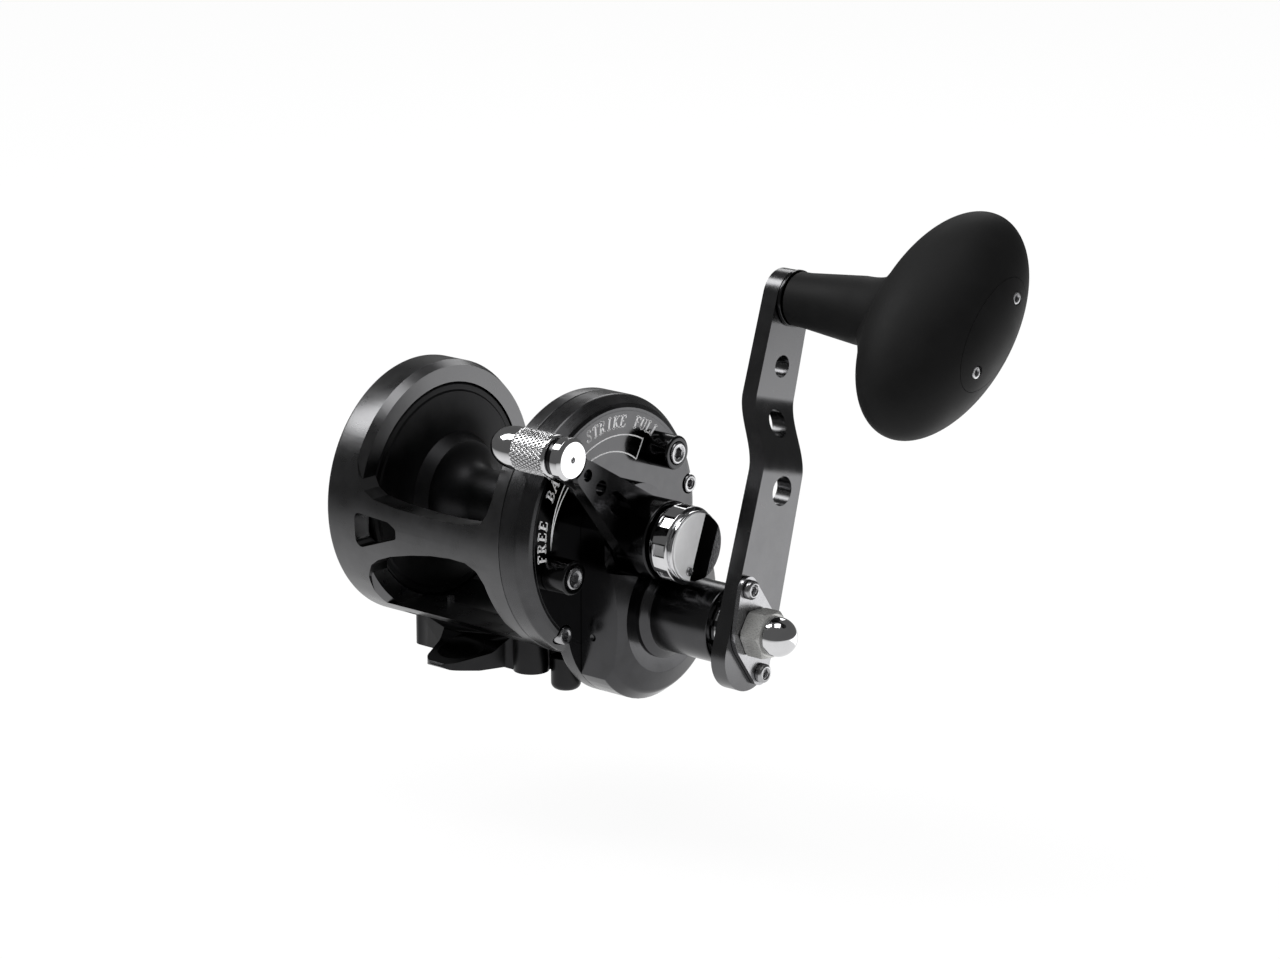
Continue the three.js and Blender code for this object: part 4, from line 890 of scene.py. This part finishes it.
def makeDragLever():
    shape, back, top = leverShape, along["lever"], along["hub"]
    front, eye = back + shape["thick"], (shape["length"], 0)
    neck, bore, spindle = shape["length"] - shape["neck"], shape["bore"], shape["spindle"]
    arm = beltOutline((2, 0), shape["hub"] - 1.2, (neck, 0), shape["waist"], 32)
    lever = platePiece("dragLever", arm, back, front)
    cutFrom(lever, rodPiece(back - 2, front + 2, bore, sides=64))
    eyeArm = beltOutline((neck - 6, 0), shape["waist"] + 0.2, eye, shape["eye"], 24)
    joinTo(lever, platePiece("leverEye", eyeArm, back, back + shape["eyeThick"]))
    joinTo(lever, turnPiece("leverHub", rounded([
        (back - 0.6, bore), (back - 0.6, shape["hub"], 0.3), (top, shape["hub"], 0.5), (top, spindle, 0.2),
        (top - 3, spindle), (top - 3, bore), (back - 0.6, bore)]), steps=96))
    joinTo(lever, platePiece("stopRib", boxOutline(*shape["rib"], 1.5), back - shape["ribDepth"], back + 1))
    pocket = slotOutline(*shape["pocket"], 0, 16)
    cutFrom(lever, platePiece("pocket", pocket, front - shape["pocketDepth"], front + 2))
    for place, radius in shape["holes"]:
        cutFrom(lever, rodPiece(back - 6, front + 2, radius, (place, 0)))
    cutFrom(lever, rodPiece(back - 1, front + 1, shape["screwHole"], eye))
    cutFrom(lever, rodPiece(back + shape["eyeThick"], front + 2, shape["eyeRoom"], eye, 64))
    softenEdges(lever, 0.4, 3, 38)
    turnAbout(lever, shape["turn"])
    return finishPiece(lever, "leverBlack", "drag_lever", ["drag_lever"])


# Lever knob: a chrome bullet, knurled round its body, held by a flat round head

knobShape = {"radius": 5.78, "body": 13.5, "nose": 8.6, "cap": 3.2, "shank": 1.8, "screw": 1.5, "gap": 0.24,
             "knurls": 30, "knurlSlope": 0.62, "depth": 0.32, "plainNose": 1.6, "plainHead": 0.9}


def knurledSurface(piece, start, end, centre):
    # sinks a diamond pattern into the faces between two places along X
    radius, count, depth = knobShape["radius"], knobShape["knurls"], knobShape["depth"]
    middle = at(0, *centre)
    for vertex in piece.data.vertices:
        x = vertex.co.x / mm
        y, z = (vertex.co.y - middle.y) / mm, (vertex.co.z - middle.z) / mm
        if not start < x < end or hypot(y, z) < radius * 0.8:
            continue
        around = atan2(z, y) / (2 * pi) * count
        down = (x - start) / (2 * pi * radius / count) * knobShape["knurlSlope"]
        ridge = min(abs((around + down) % 1 - 0.5), abs((around - down) % 1 - 0.5)) * 2
        ease = min(1, (x - start) / 0.5, (end - x) / 0.5)
        share = 1 - depth / radius * (1 - min(1, ridge * 2.2)) * ease
        vertex.co.y = middle.y + y * share * mm
        vertex.co.z = middle.z + z * share * mm


def makeLeverKnob():
    shape = knobShape
    radius, shank, centre = shape["radius"], shape["shank"], (leverShape["length"], 0)
    end = along["lever"] - shape["gap"]
    bodyEnd, plain = end - shape["body"], end - shape["plainHead"]
    profile = [(end - 4, 0), (end - 4, shank), (end, shank), (end, radius - 0.5), (end - 0.12, radius - 0.2),
               (end - 0.4, radius), (plain, radius)]
    rings = 70
    profile += [(plain - (shape["body"] - 2.2) * i / rings, radius) for i in range(1, rings + 1)]
    profile.append((bodyEnd, radius))
    for i in range(1, 25):
        share = sin(pi / 2 * i / 24)
        height = radius * max(0, 1 - share ** 2.2) ** 0.5 if i < 24 else 0
        profile.append((bodyEnd - shape["nose"] * share, height))
    knob = turnPiece("leverKnob", profile, centre, 300)
    knurledSurface(knob, bodyEnd + shape["plainNose"], plain, centre)
    turnAbout(knob, leverShape["turn"])
    finishPiece(knob, "chrome", "drag_lever", ["lever_knob"], 40, False)
    start = along["lever"] + leverShape["eyeThick"] + shape["gap"]
    top, screw = start + shape["cap"], shape["screw"]
    head = turnPiece("leverKnobHead", rounded([
        (end - 3.6, 0), (end - 3.6, screw), (start, screw), (start, radius, 0.15), (top - 0.9, radius, 0.25),
        (top, radius - 0.9, 0.2), (top, 0.75, 0.15), (top - 0.7, 0.7), (top - 0.9, 0)], steps=4), centre, 96)
    turnAbout(head, leverShape["turn"])
    finishPiece(head, "chrome", "drag_lever", ["lever_knob_screw"])


makeSpool()
makeDragLever()
makeLeverKnob()
print("spool and drag lever made")


# Preset knob: a notched chrome rim and a satin face, with a thumb flat that rises across part of it

presetShape = {
    "turn": -13, "radius": 10.5, "neck": 9.9, "face": 9.7, "disc": 9.15, "length": 8.2,
    "bore": 3.2, "boreDepth": 4.6, "notches": 8, "notch": 1.8, "notchDepth": 0.55, "notchTurn": 10,
    "facetFrom": 0.6, "facetTo": 5.8, "rise": 1.0, "facetTurn": -8, "screw": (-0.8, -6.8), "screwRadius": 1.2,
}


def makePresetKnob():
    shape, start = presetShape, along["preset"]
    top, rim, face, disc = start + shape["length"], shape["radius"], shape["face"], shape["disc"]
    neck, bore, deep = shape["neck"], shape["bore"], start + shape["boreDepth"]
    knob = turnPiece("presetKnob", rounded([
        (start, bore), (start, neck, 0.3), (start + 1.2, neck), (start + 1.5, rim, 0.25),
        (top - 2.1, rim, 0.3), (top - 1.9, face - 0.3), (top - 1.4, face - 0.3), (top - 1.3, face, 0.15),
        (top - 0.4, face, 0.2), (top - 0.4, disc + 0.15), (top - 0.8, disc + 0.1), (top - 0.8, 0),
        (deep, 0), (deep, bore), (start, bore)], steps=4), steps=160)
    half, floor = shape["notch"], rim - shape["notchDepth"]
    outline = rounded([(-half, floor, 0.2), (half, floor, 0.2), (half, 13), (-half, 13)], True, 3)
    for i in range(shape["notches"]):
        notch = platePiece("notch", outline, start + 2, top - 2.6)
        cutFrom(knob, turnAbout(notch, 360 / shape["notches"] * i + shape["notchTurn"]))
    softenEdges(knob, 0.1, 2, 40)
    turnAbout(knob, shape["turn"])
    finishPiece(knob, "chrome", "preset_knob", ["preset_knob"])
    plate = turnPiece("presetFace", rounded([
        (top - 0.79, 0), (top - 0.79, disc), (top, disc, 0.12), (top, 0)]), steps=160)
    turnAbout(plate, shape["turn"])
    finishPiece(plate, "satinFace", "preset_knob", [], 20)
    makeThumbFlat(top)


def makeThumbFlat(top):
    # a slope that rises from the face to a crescent, and the small screw beside it. Both belong to the chrome
    # knob: the slope's black is painted shade and the crescent's grey is a painted reflection
    shape = presetShape
    low, high, near, away = top - 0.5, top + shape["rise"], shape["facetFrom"], shape["facetTo"]
    slope = [(low, near), (top, near), (high, away), (low, away)]
    crescent = [(low, away), (high, away), (high, 12), (low, 12)]
    turn = shape["turn"] + shape["facetTurn"]
    # painted light: in place of the knob's chrome, the slope takes the black lever finish as painted shade
    # and the crescent takes grey satin steel as a painted reflection
    parts = (("thumbSlopePaintedShade", slope, "leverBlack"), ("thumbCrescentPaintedReflection", crescent, "satinSteel"))
    for name, outline, finish in parts:
        part = platePiece(name, outline, -12, 12, "xy")
        keepInside(part, rodPiece(top - 2, top + 3, shape["disc"] - 0.04, sides=160))
        finishPiece(turnAbout(part, turn), finish, "preset_knob", [], 5, False)
    (y, z), radius = shape["screw"], shape["screwRadius"]
    screw = turnPiece("presetScrew", rounded([
        (top + 0.1, 0), (top + 0.1, radius), (top + 0.7, radius, 0.3), (top + 0.7, 0)]), (y, z), 32)
    slot = boxOutline((y - 1.5, z - 0.2), (y + 1.5, z + 0.2))
    cutFrom(screw, platePiece("driverSlot", slot, top + 0.35, top + 2))
    finishPiece(turnAbout(screw, turn), "screwSteel", "preset_knob", ["preset_screw"])


# Handle: cranked arm, lock plate, nut and collar. Drawn upright from the gear shaft, then leaned.

handleShape = {
    "lean": -15.5, "length": 88.4, "root": 10.0, "tail": 6.5, "tip": 7.5, "shift": 7.2, "rootOffset": 1.0,
    "offset": 2.9, "jogFrom": 41.6, "jogTo": 61.7, "holes": ((37.6, 4.0), (55, 3.6), (70, 3.0)),
}
pinHole = 2.62


def onShaft(y, z):
    return gearAxis[0] + y, gearAxis[1] + z


def makeArm():
    shape = handleShape
    root, tip = (shape["rootOffset"], -shape["tail"]), (shape["offset"], shape["length"])
    outline = [onShaft(*point) for point in beltOutline(root, shape["root"], tip, shape["tip"], 40)]
    low, high = 60, 90
    arm = platePiece("handleArm", outline, low, high)
    # the same arm seen from the side, with its eased step towards the reel
    front, back, shift = along["armFront"], along["arm"], shape["shift"]
    step = [(0, gearAxis[1] - 30)]
    for i in range(25):
        share = i / 24
        step.append((-shift * share * share * (3 - 2 * share),
                     gearAxis[1] + shape["jogFrom"] + (shape["jogTo"] - shape["jogFrom"]) * share))
    step.append((-shift, gearAxis[1] + 110))
    side = [(front + x, z) for x, z in step] + [(back + x, z) for x, z in reversed(step)]
    keepInside(arm, platePiece("armSide", side, gearAxis[0] - 20, gearAxis[0] + 20, "xz"))
    for height, radius in shape["holes"]:
        cutFrom(arm, rodPiece(low, high, radius, onShaft(shape["offset"], height), 64))
    cutFrom(arm, rodPiece(low, high, shaftHole, gearAxis), rodPiece(low, high, pinHole, onShaft(*tip)))
    softenEdges(arm, 0.5, 3, 40)
    turnAbout(arm, shape["lean"], gearAxis)
    return finishPiece(arm, "armBlack", "crank", ["handle_arm"], 30)


lockShape = {"middle": 8.4, "end": 3.4, "screwAt": 12.4, "tilt": 27.5, "thick": 1.3,
             "head": 2.6, "headHeight": 1.7, "socket": 1.3, "socketDepth": 1.1}


def makeLockPlate():
    shape, lean = lockShape, handleShape["lean"]
    start, end = along["lock"], along["lock"] + shape["thick"]
    spots = [polar(shape["screwAt"], shape["tilt"] + turn, gearAxis) for turn in (90, -90)]
    outlines = [beltOutline(gearAxis, shape["middle"], spot, shape["end"], 24) for spot in spots]
    plate = joinTo(*[platePiece("lockPlate", outline, start, end) for outline in outlines])
    cutFrom(plate, rodPiece(start - 1, end + 1, shaftHole, gearAxis))
    softenEdges(plate, 0.22, 3, 40)
    turnAbout(plate, lean, gearAxis)
    finishPiece(plate, "satinSteel", "crank", ["lock_plate"])
    seat = end + clear
    for number, spot in enumerate(spots, 1):
        screw = socketScrew(f"lockScrew{number}", seat, shape["head"], seat + shape["headHeight"],
                            shape["socketDepth"], shape["socket"], spot, 0.8, 1.1)
        turnAbout(screw, lean, gearAxis)
        finishPiece(screw, "screwSteel", "crank", [f"lock_screw_{number}"])


nutShape = {"height": 6.0, "radius": 6.9, "turn": 12, "neck": 5.0, "dome": 5.3, "domeFrom": 1.6}


def makeNut():
    shape, start = nutShape, along["nut"]
    radius, top = shape["radius"], start + shape["height"]
    rim, neck, dome, base = radius + 0.05, shape["neck"], shape["dome"], top + shape["domeFrom"]
    nut = platePiece("handleNut", circleOutline(radius, gearAxis, 6, shape["turn"]), start, top)
    keepInside(nut, turnPiece("nutChamfer", [
        (start, 0), (start, radius - 0.5), (start + 0.5, rim), (top - 0.8, rim), (top, radius - 1.0),
        (top, 0)], gearAxis, 96))
    softenEdges(nut, 0.1, 2, 40)
    turnAbout(nut, handleShape["lean"], gearAxis)
    finishPiece(nut, "nutSteel", "crank", ["handle_nut"], 20)
    arc = [(base + dome * sin(pi / 2 * i / 16), dome * cos(pi / 2 * i / 16)) for i in range(16)]
    neckLine = rounded([(top, 0), (top, neck), (top + 0.2, neck, 0.1), (top + 0.5, dome, 0.15), (base, dome)])
    cap = turnPiece("nutDome", neckLine[:-1] + arc + [(base + dome, 0)], gearAxis, 96)
    finishPiece(cap, "chrome", "crank", [], 30)


collarShape = {"gap": 0.3, "width": 1.5, "radius": 8.6, "notches": 10, "notch": 0.8, "notchDepth": 1.1}


def makeCollar():
    shape = collarShape
    start, radius, half = along["sleeve"] + shape["gap"], shape["radius"], shape["notch"]
    end = start + shape["width"]
    collar = turnPiece("shaftCollar", rounded([
        (start, shaftHole), (start, radius, 0.2), (end, radius, 0.2), (end, shaftHole), (start, shaftHole)]),
        gearAxis, 96)
    outline = boxOutline(onShaft(-half, radius - shape["notchDepth"]), onShaft(half, 11))
    for i in range(shape["notches"]):
        notch = platePiece("notch", outline, start - 1, start + 4)
        cutFrom(collar, turnAbout(notch, 360 / shape["notches"] * i, gearAxis))
    finishPiece(collar, "chrome", "crank", ["shaft_collar"])


makePresetKnob()
makeArm()
makeLockPlate()
makeNut()
makeCollar()
print("preset knob and handle made")


# Knob: a soft oval grip on a tapered stem, drawn about its own pin

gripShape = {
    "stem": 7.3, "stemEnd": 9.2, "stemLength": 21, "flareLength": 16, "flareRise": 6, "tilt": 44,
    "long": 34.15, "short": 19, "deep": 18.4, "bore": 3.7,
    "capLong": 17, "capShort": 9.4, "capDepth": 3.6, "capGap": 0.12, "screwAt": 11.8, "screwHole": 1.1,
    # the oval cone's start and end are shares of the ball's half sizes
    "blendFrom": 24, "blendLength": 10, "blendStart": 0.27, "blendEnd": 0.7,
}
pinAxis = (32.932, 62.56)


def ballCopy(name):
    shape = gripShape
    ball = ballPiece(name, (shape["deep"], shape["long"], shape["short"]), (along["ball"], *pinAxis), 160)
    return turnAbout(ball, shape["tilt"], pinAxis)


def capOutline(grow):
    shape, lean = gripShape, radians(gripShape["tilt"])
    line = []
    for i in range(96):
        angle = 2 * pi * i / 96
        y, z = (shape["capLong"] + grow) * cos(angle), (shape["capShort"] + grow) * sin(angle)
        line.append((pinAxis[0] + y * cos(lean) - z * sin(lean), pinAxis[1] + y * sin(lean) + z * cos(lean)))
    return line


def capScrewSpot(end):
    return polar(end * gripShape["screwAt"], gripShape["tilt"], pinAxis)


def swept(start, length, low, high, power, steps):
    # a side line of (x, radius) that opens from low to high
    shares = [i / steps for i in range(steps + 1)]
    return [(start + length * share, low + (high - low) * share ** power) for share in shares]


def makeStem():
    shape, start = gripShape, along["grip"]
    neck, stemEnd = start + shape["stemLength"], shape["stemEnd"]
    flare = swept(neck, shape["flareLength"], stemEnd, stemEnd + shape["flareRise"], 2.6, 14)
    tube = rounded([(start, 0), (start, shape["stem"], 0.5), (start + 3.2, shape["stem"] + 0.1),
                    (neck - 2, stemEnd - 0.2)])
    return turnPiece("stem", tube + flare + [(flare[-1][0], 0)], pinAxis, 128)


def makeStemBlend():
    # an oval cone, where the round stem runs into the oval ball
    shape, start = gripShape, along["grip"] + gripShape["blendFrom"]
    side = swept(start, shape["blendLength"], shape["blendStart"], shape["blendEnd"], 1.3, 12)
    cone = turnPiece("stemBlend", [(start, 0)] + side + [(side[-1][0], 0)], pinAxis, 128)
    onlySelect(cone)
    bpy.ops.object.mode_set(mode="EDIT")
    bpy.ops.mesh.select_all(action="SELECT")
    bpy.ops.transform.resize(value=(1, shape["long"], shape["short"]), center_override=at(0, *pinAxis))
    bpy.ops.object.mode_set(mode="OBJECT")
    return turnAbout(cone, shape["tilt"], pinAxis)


def makeGrip():
    shape = gripShape
    grip = joinTo(ballCopy("handleKnob"), makeStem(), makeStemBlend())
    floor = along["ball"] + shape["deep"] - shape["capDepth"]
    cutFrom(grip, platePiece("capRoom", capOutline(shape["capGap"]), floor, floor + 12))
    cutFrom(grip, rodPiece(along["grip"] - 2, along["ball"] + 5, shape["bore"], pinAxis))
    for end in (-1, 1):
        cutFrom(grip, rodPiece(floor - 5, floor + 1, shape["screwHole"], capScrewSpot(end), 24))
    return finishPiece(grip, "softGrip", "handle_knob", ["handle_knob"], 40, False)


capScrewShape = {"head": 1.7, "headSeat": 0.6, "room": 1.82, "socket": 0.85, "socketDepth": 0.7, "sunk": 0.1}


def makeGripCap():
    shape, screwShape = gripShape, capScrewShape
    floor = along["ball"] + shape["deep"] - shape["capDepth"]
    cap = ballCopy("knobCap")
    keepInside(cap, platePiece("capPrism", capOutline(0), floor + clear, floor + 12))
    # the ball's surface over each screw
    surface = along["ball"] + shape["deep"] * sqrt(1 - (shape["screwAt"] / shape["long"]) ** 2)
    screws = []
    for number, end in ((1, 1), (2, -1)):
        spot = capScrewSpot(end)
        cutFrom(cap, rodPiece(floor, floor + 12, screwShape["room"], spot, 32))
        screws.append(socketScrew(
            f"capScrew{number}", floor + screwShape["headSeat"], screwShape["head"],
            surface - screwShape["sunk"], screwShape["socketDepth"], screwShape["socket"],
            spot, 0.25, 0.8, floor - 4))
    finishPiece(cap, "softGrip", "handle_knob", ["knob_cap"], 30)
    for number, screw in enumerate(screws, 1):
        finishPiece(screw, "screwSteel", "handle_knob", [f"knob_cap_screw_{number}"])


pinShape = {"radius": 2.5, "end": 124.8, "head": 4.3, "headHeight": 1.5, "socket": 1.6, "socketDepth": 0.9,
            "washer": 7.7, "washerThick": 1, "washerGap": 0.3}


def makePin():
    shape = pinShape
    back, front = along["arm"] - handleShape["shift"], along["armFront"] - handleShape["shift"]
    radius, head, outside = shape["radius"], shape["head"], back - shape["headHeight"]
    pin = turnPiece("knobPin", rounded([
        (outside, 0), (outside, head, 0.5), (back - clear, head), (back - clear, radius),
        (shape["end"], radius), (shape["end"], 0)]), pinAxis, 64)
    socket = circleOutline(shape["socket"], pinAxis, 6)
    cutFrom(pin, platePiece("socket", socket, outside - 1.5, outside + shape["socketDepth"]))
    finishPiece(pin, "screwSteel", "crank", ["knob_pin"])
    start, rim = front + shape["washerGap"], shape["washer"]
    end = start + shape["washerThick"]
    washer = turnPiece("knobWasher", rounded([
        (start, pinHole), (start, rim, 0.2), (end, rim, 0.2), (end, pinHole), (start, pinHole)]), pinAxis, 96)
    finishPiece(washer, "leverBlack", "crank", ["knob_washer"])


makeGrip()
makeGripCap()
makePin()
print("grip made")


# Click button on the left face

clickShape = {"at": (-19.1, 0), "stem": 1.3, "stemEnd": -27.2, "radius": 3.6, "height": 3.4,
              "dish": 1.6, "dishDepth": 0.4}


def makeClickButton():
    shape, face = clickShape, along["left"] - clear
    top, radius, stem, end = face - shape["height"], shape["radius"], shape["stem"], shape["stemEnd"]
    button = turnPiece("clickButton", rounded([
        (end, 0), (end, stem), (face, stem), (face, radius, 0.2), (top, radius, 0.8),
        (top, shape["dish"], 0.4), (top + shape["dishDepth"], 0)], steps=5), shape["at"], 64)
    finishPiece(button, "leverBlack", "click_button", ["click_button"])


makeClickButton()


# Dial words and the drag wedge, printed flat on the side plate's face

dialShape = {"words": (("FREE", 187, 165), ("BAIT", 153, 130), ("STRIKE", 112, 80), ("FULL", 72, 52)),
             "foot": 27.4, "height": 3.2, "slant": 0.2, "weight": 1.25, "spread": 2,
             "lift": 0.05, "thick": 0.03,
             "outer": 25.5, "wide": 19.7, "from": 182, "to": 61, "line": 0.35, "steps": 72}

# Serif capitals one unit high, each a list of strokes: (width, points)
stroke = (0.17, [(0.16, 0), (0.16, 1)])
topSerif = (0.07, [(-0.02, 0.97), (0.34, 0.97)])
footSerif = (0.07, [(-0.02, 0.03), (0.34, 0.03)])
topBar = (0.08, [(-0.02, 0.96), (0.62, 0.96), (0.62, 0.76)])
middleBar = (0.07, [(0.16, 0.52), (0.44, 0.52)])
footBar = (0.08, [(-0.02, 0.04), (0.64, 0.04), (0.68, 0.26)])
rightFoot = (0.07, [(0.52, 0.03), (0.76, 0.03)])
upperBowl = (0.11, [(0.16, 0.96), (0.42, 0.95), (0.58, 0.84), (0.58, 0.68), (0.42, 0.55), (0.16, 0.52)])
capitals = {
    "F": [stroke, topBar, middleBar, footSerif],
    "R": [stroke, topSerif, footSerif, upperBowl, (0.14, [(0.34, 0.52), (0.62, 0.02)]), rightFoot],
    "E": [stroke, topBar, middleBar, footBar],
    "B": [stroke, topSerif, footSerif, upperBowl,
          (0.12, [(0.16, 0.52), (0.46, 0.51), (0.64, 0.38), (0.64, 0.2), (0.46, 0.05), (0.16, 0.04)])],
    "A": [(0.08, [(0.04, 0), (0.38, 1)]), (0.16, [(0.38, 1), (0.66, 0)]),
          (0.07, [(0.16, 0.34), (0.54, 0.34)]), (0.07, [(-0.08, 0.03), (0.18, 0.03)]),
          (0.07, [(0.5, 0.03), (0.8, 0.03)])],
    "I": [stroke, topSerif, footSerif],
    "T": [(0.17, [(0.34, 0), (0.34, 1)]), (0.08, [(0, 0.76), (0, 0.96), (0.68, 0.96), (0.68, 0.76)]),
          (0.07, [(0.18, 0.03), (0.5, 0.03)])],
    "S": [(0.12, [(0.56, 0.78), (0.48, 0.92), (0.32, 0.97), (0.16, 0.9), (0.12, 0.74), (0.24, 0.6),
                  (0.44, 0.46), (0.56, 0.3), (0.5, 0.1), (0.32, 0.03), (0.14, 0.08), (0.06, 0.24)])],
    "K": [stroke, topSerif, footSerif, (0.07, [(0.18, 0.42), (0.6, 0.97)]),
          (0.14, [(0.3, 0.54), (0.62, 0.02)]), (0.07, [(0.48, 0.97), (0.74, 0.97)]), rightFoot],
    "U": [(0.16, [(0.14, 1), (0.14, 0.26)]),
          (0.1, [(0.14, 0.26), (0.22, 0.09), (0.38, 0.04), (0.54, 0.1), (0.6, 0.26)]),
          (0.08, [(0.6, 0.26), (0.6, 1)]),
          (0.07, [(-0.02, 0.97), (0.3, 0.97)]), (0.07, [(0.46, 0.97), (0.74, 0.97)])],
    "L": [stroke, topSerif, footBar],
}


def joinPrint(pieces, name):
    bpy.ops.object.select_all(action="DESELECT")
    for piece in pieces:
        piece.select_set(True)
    bpy.context.view_layer.objects.active = pieces[0]
    bpy.ops.object.join()
    pieces[0].name = pieces[0].data.name = name
    finishPiece(pieces[0], "dialPaint", "frame", [], 30, False)


def strokeOutline(start, end, width):
    # a bar from one point to the next, a little longer at each end so that bars meet
    run = hypot(end[0] - start[0], end[1] - start[1])
    a, b = (end[0] - start[0]) / run, (end[1] - start[1]) / run
    half, more = width / 2, width * 0.3
    corners = []
    for (x, y), way in ((start, -1), (end, 1)):
        for side in (way, -way):
            corners.append((x + a * more * way - b * half * side, y + b * more * way + a * half * side))
    return corners


def printStroke(outline, name):
    start = along["face"] + dialShape["lift"]
    return platePiece(name, outline, start, start + dialShape["thick"])


def printLetter(letter, angle):
    # its strokes, slanted, with its foot towards the axis and its middle at the angle
    shape, strokes = dialShape, []
    edges = [x for width, points in capitals[letter] for x, y in points]
    middle = (min(edges) + max(edges)) / 2
    for width, points in capitals[letter]:
        for first, second in zip(points, points[1:]):
            outline = []
            for x, y in strokeOutline(first, second, width * shape["weight"]):
                across = (x - middle + shape["slant"] * (y - 0.5)) * shape["height"]
                out = shape["foot"] + y * shape["height"]
                outline.append((out * cos(angle) + across * sin(angle),
                                out * sin(angle) - across * cos(angle)))
            strokes.append(printStroke(outline, "stroke"))
    return strokes


def makeDialWords():
    spread = dialShape["spread"]
    for word, start, end in dialShape["words"]:
        strokes = []
        for i, letter in enumerate(word):
            angle = start - spread + (end - start + 2 * spread) * i / (len(word) - 1)
            strokes += printLetter(letter, radians(angle))
        joinPrint(strokes, f"dialWord{word.title()}")


def makeWedge():
    # a band that widens towards the full drag, drawn as three thin lines
    shape, outer, inner = dialShape, [], []
    for i in range(shape["steps"] + 1):
        share = i / shape["steps"]
        angle = shape["from"] + (shape["to"] - shape["from"]) * share
        outer.append((shape["outer"], angle))
        inner.append((shape["outer"] - (shape["outer"] - shape["wide"]) * share ** 1.15, angle))
    lines = []
    for edge in (outer, inner):
        outside = [polar(radius, angle) for radius, angle in edge]
        inside = [polar(radius - shape["line"], angle) for radius, angle in edge]
        lines.append(printStroke(outside + inside[::-1], "wedgeEdge"))
    ends = [polar(radius, shape["to"]) for radius in (shape["outer"], shape["wide"])]
    lines.append(printStroke(strokeOutline(*ends, shape["line"]), "wedgeEnd"))
    joinPrint(lines, "dragWedge")


makeDialWords()
makeWedge()
print("dial made")


# The pieces inside and the foot's screws, which keep their own shape

innerFinishes = {
    "machinedSteel": ["gear_shaft", "pinion_gear", "ratchet_wheel", "spindle", "spring_washers",
                      "drive_plate", "drag_cam", "shaft_bearing_inner", "shaft_bearing_outer",
                      "pinion_bearing",
                      "spool_bearing_left", "spool_bearing_right", "click_pawl", "anti_reverse_dog_1",
                      "anti_reverse_dog_2"],
    "gearBrass": ["main_gear", "click_wheel", "knob_bush_inner", "knob_bush_outer"],
    "dragFibre": ["drag_washer"],
    "screwSteel": ["foot_screw_1", "foot_screw_2", "foot_screw_3", "foot_screw_4"],
}
for finish, names in innerFinishes.items():
    for name in names:
        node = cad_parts[name]
        node.data.materials.clear()
        node.data.materials.append(finishes[finish])
print("inner pieces finished")
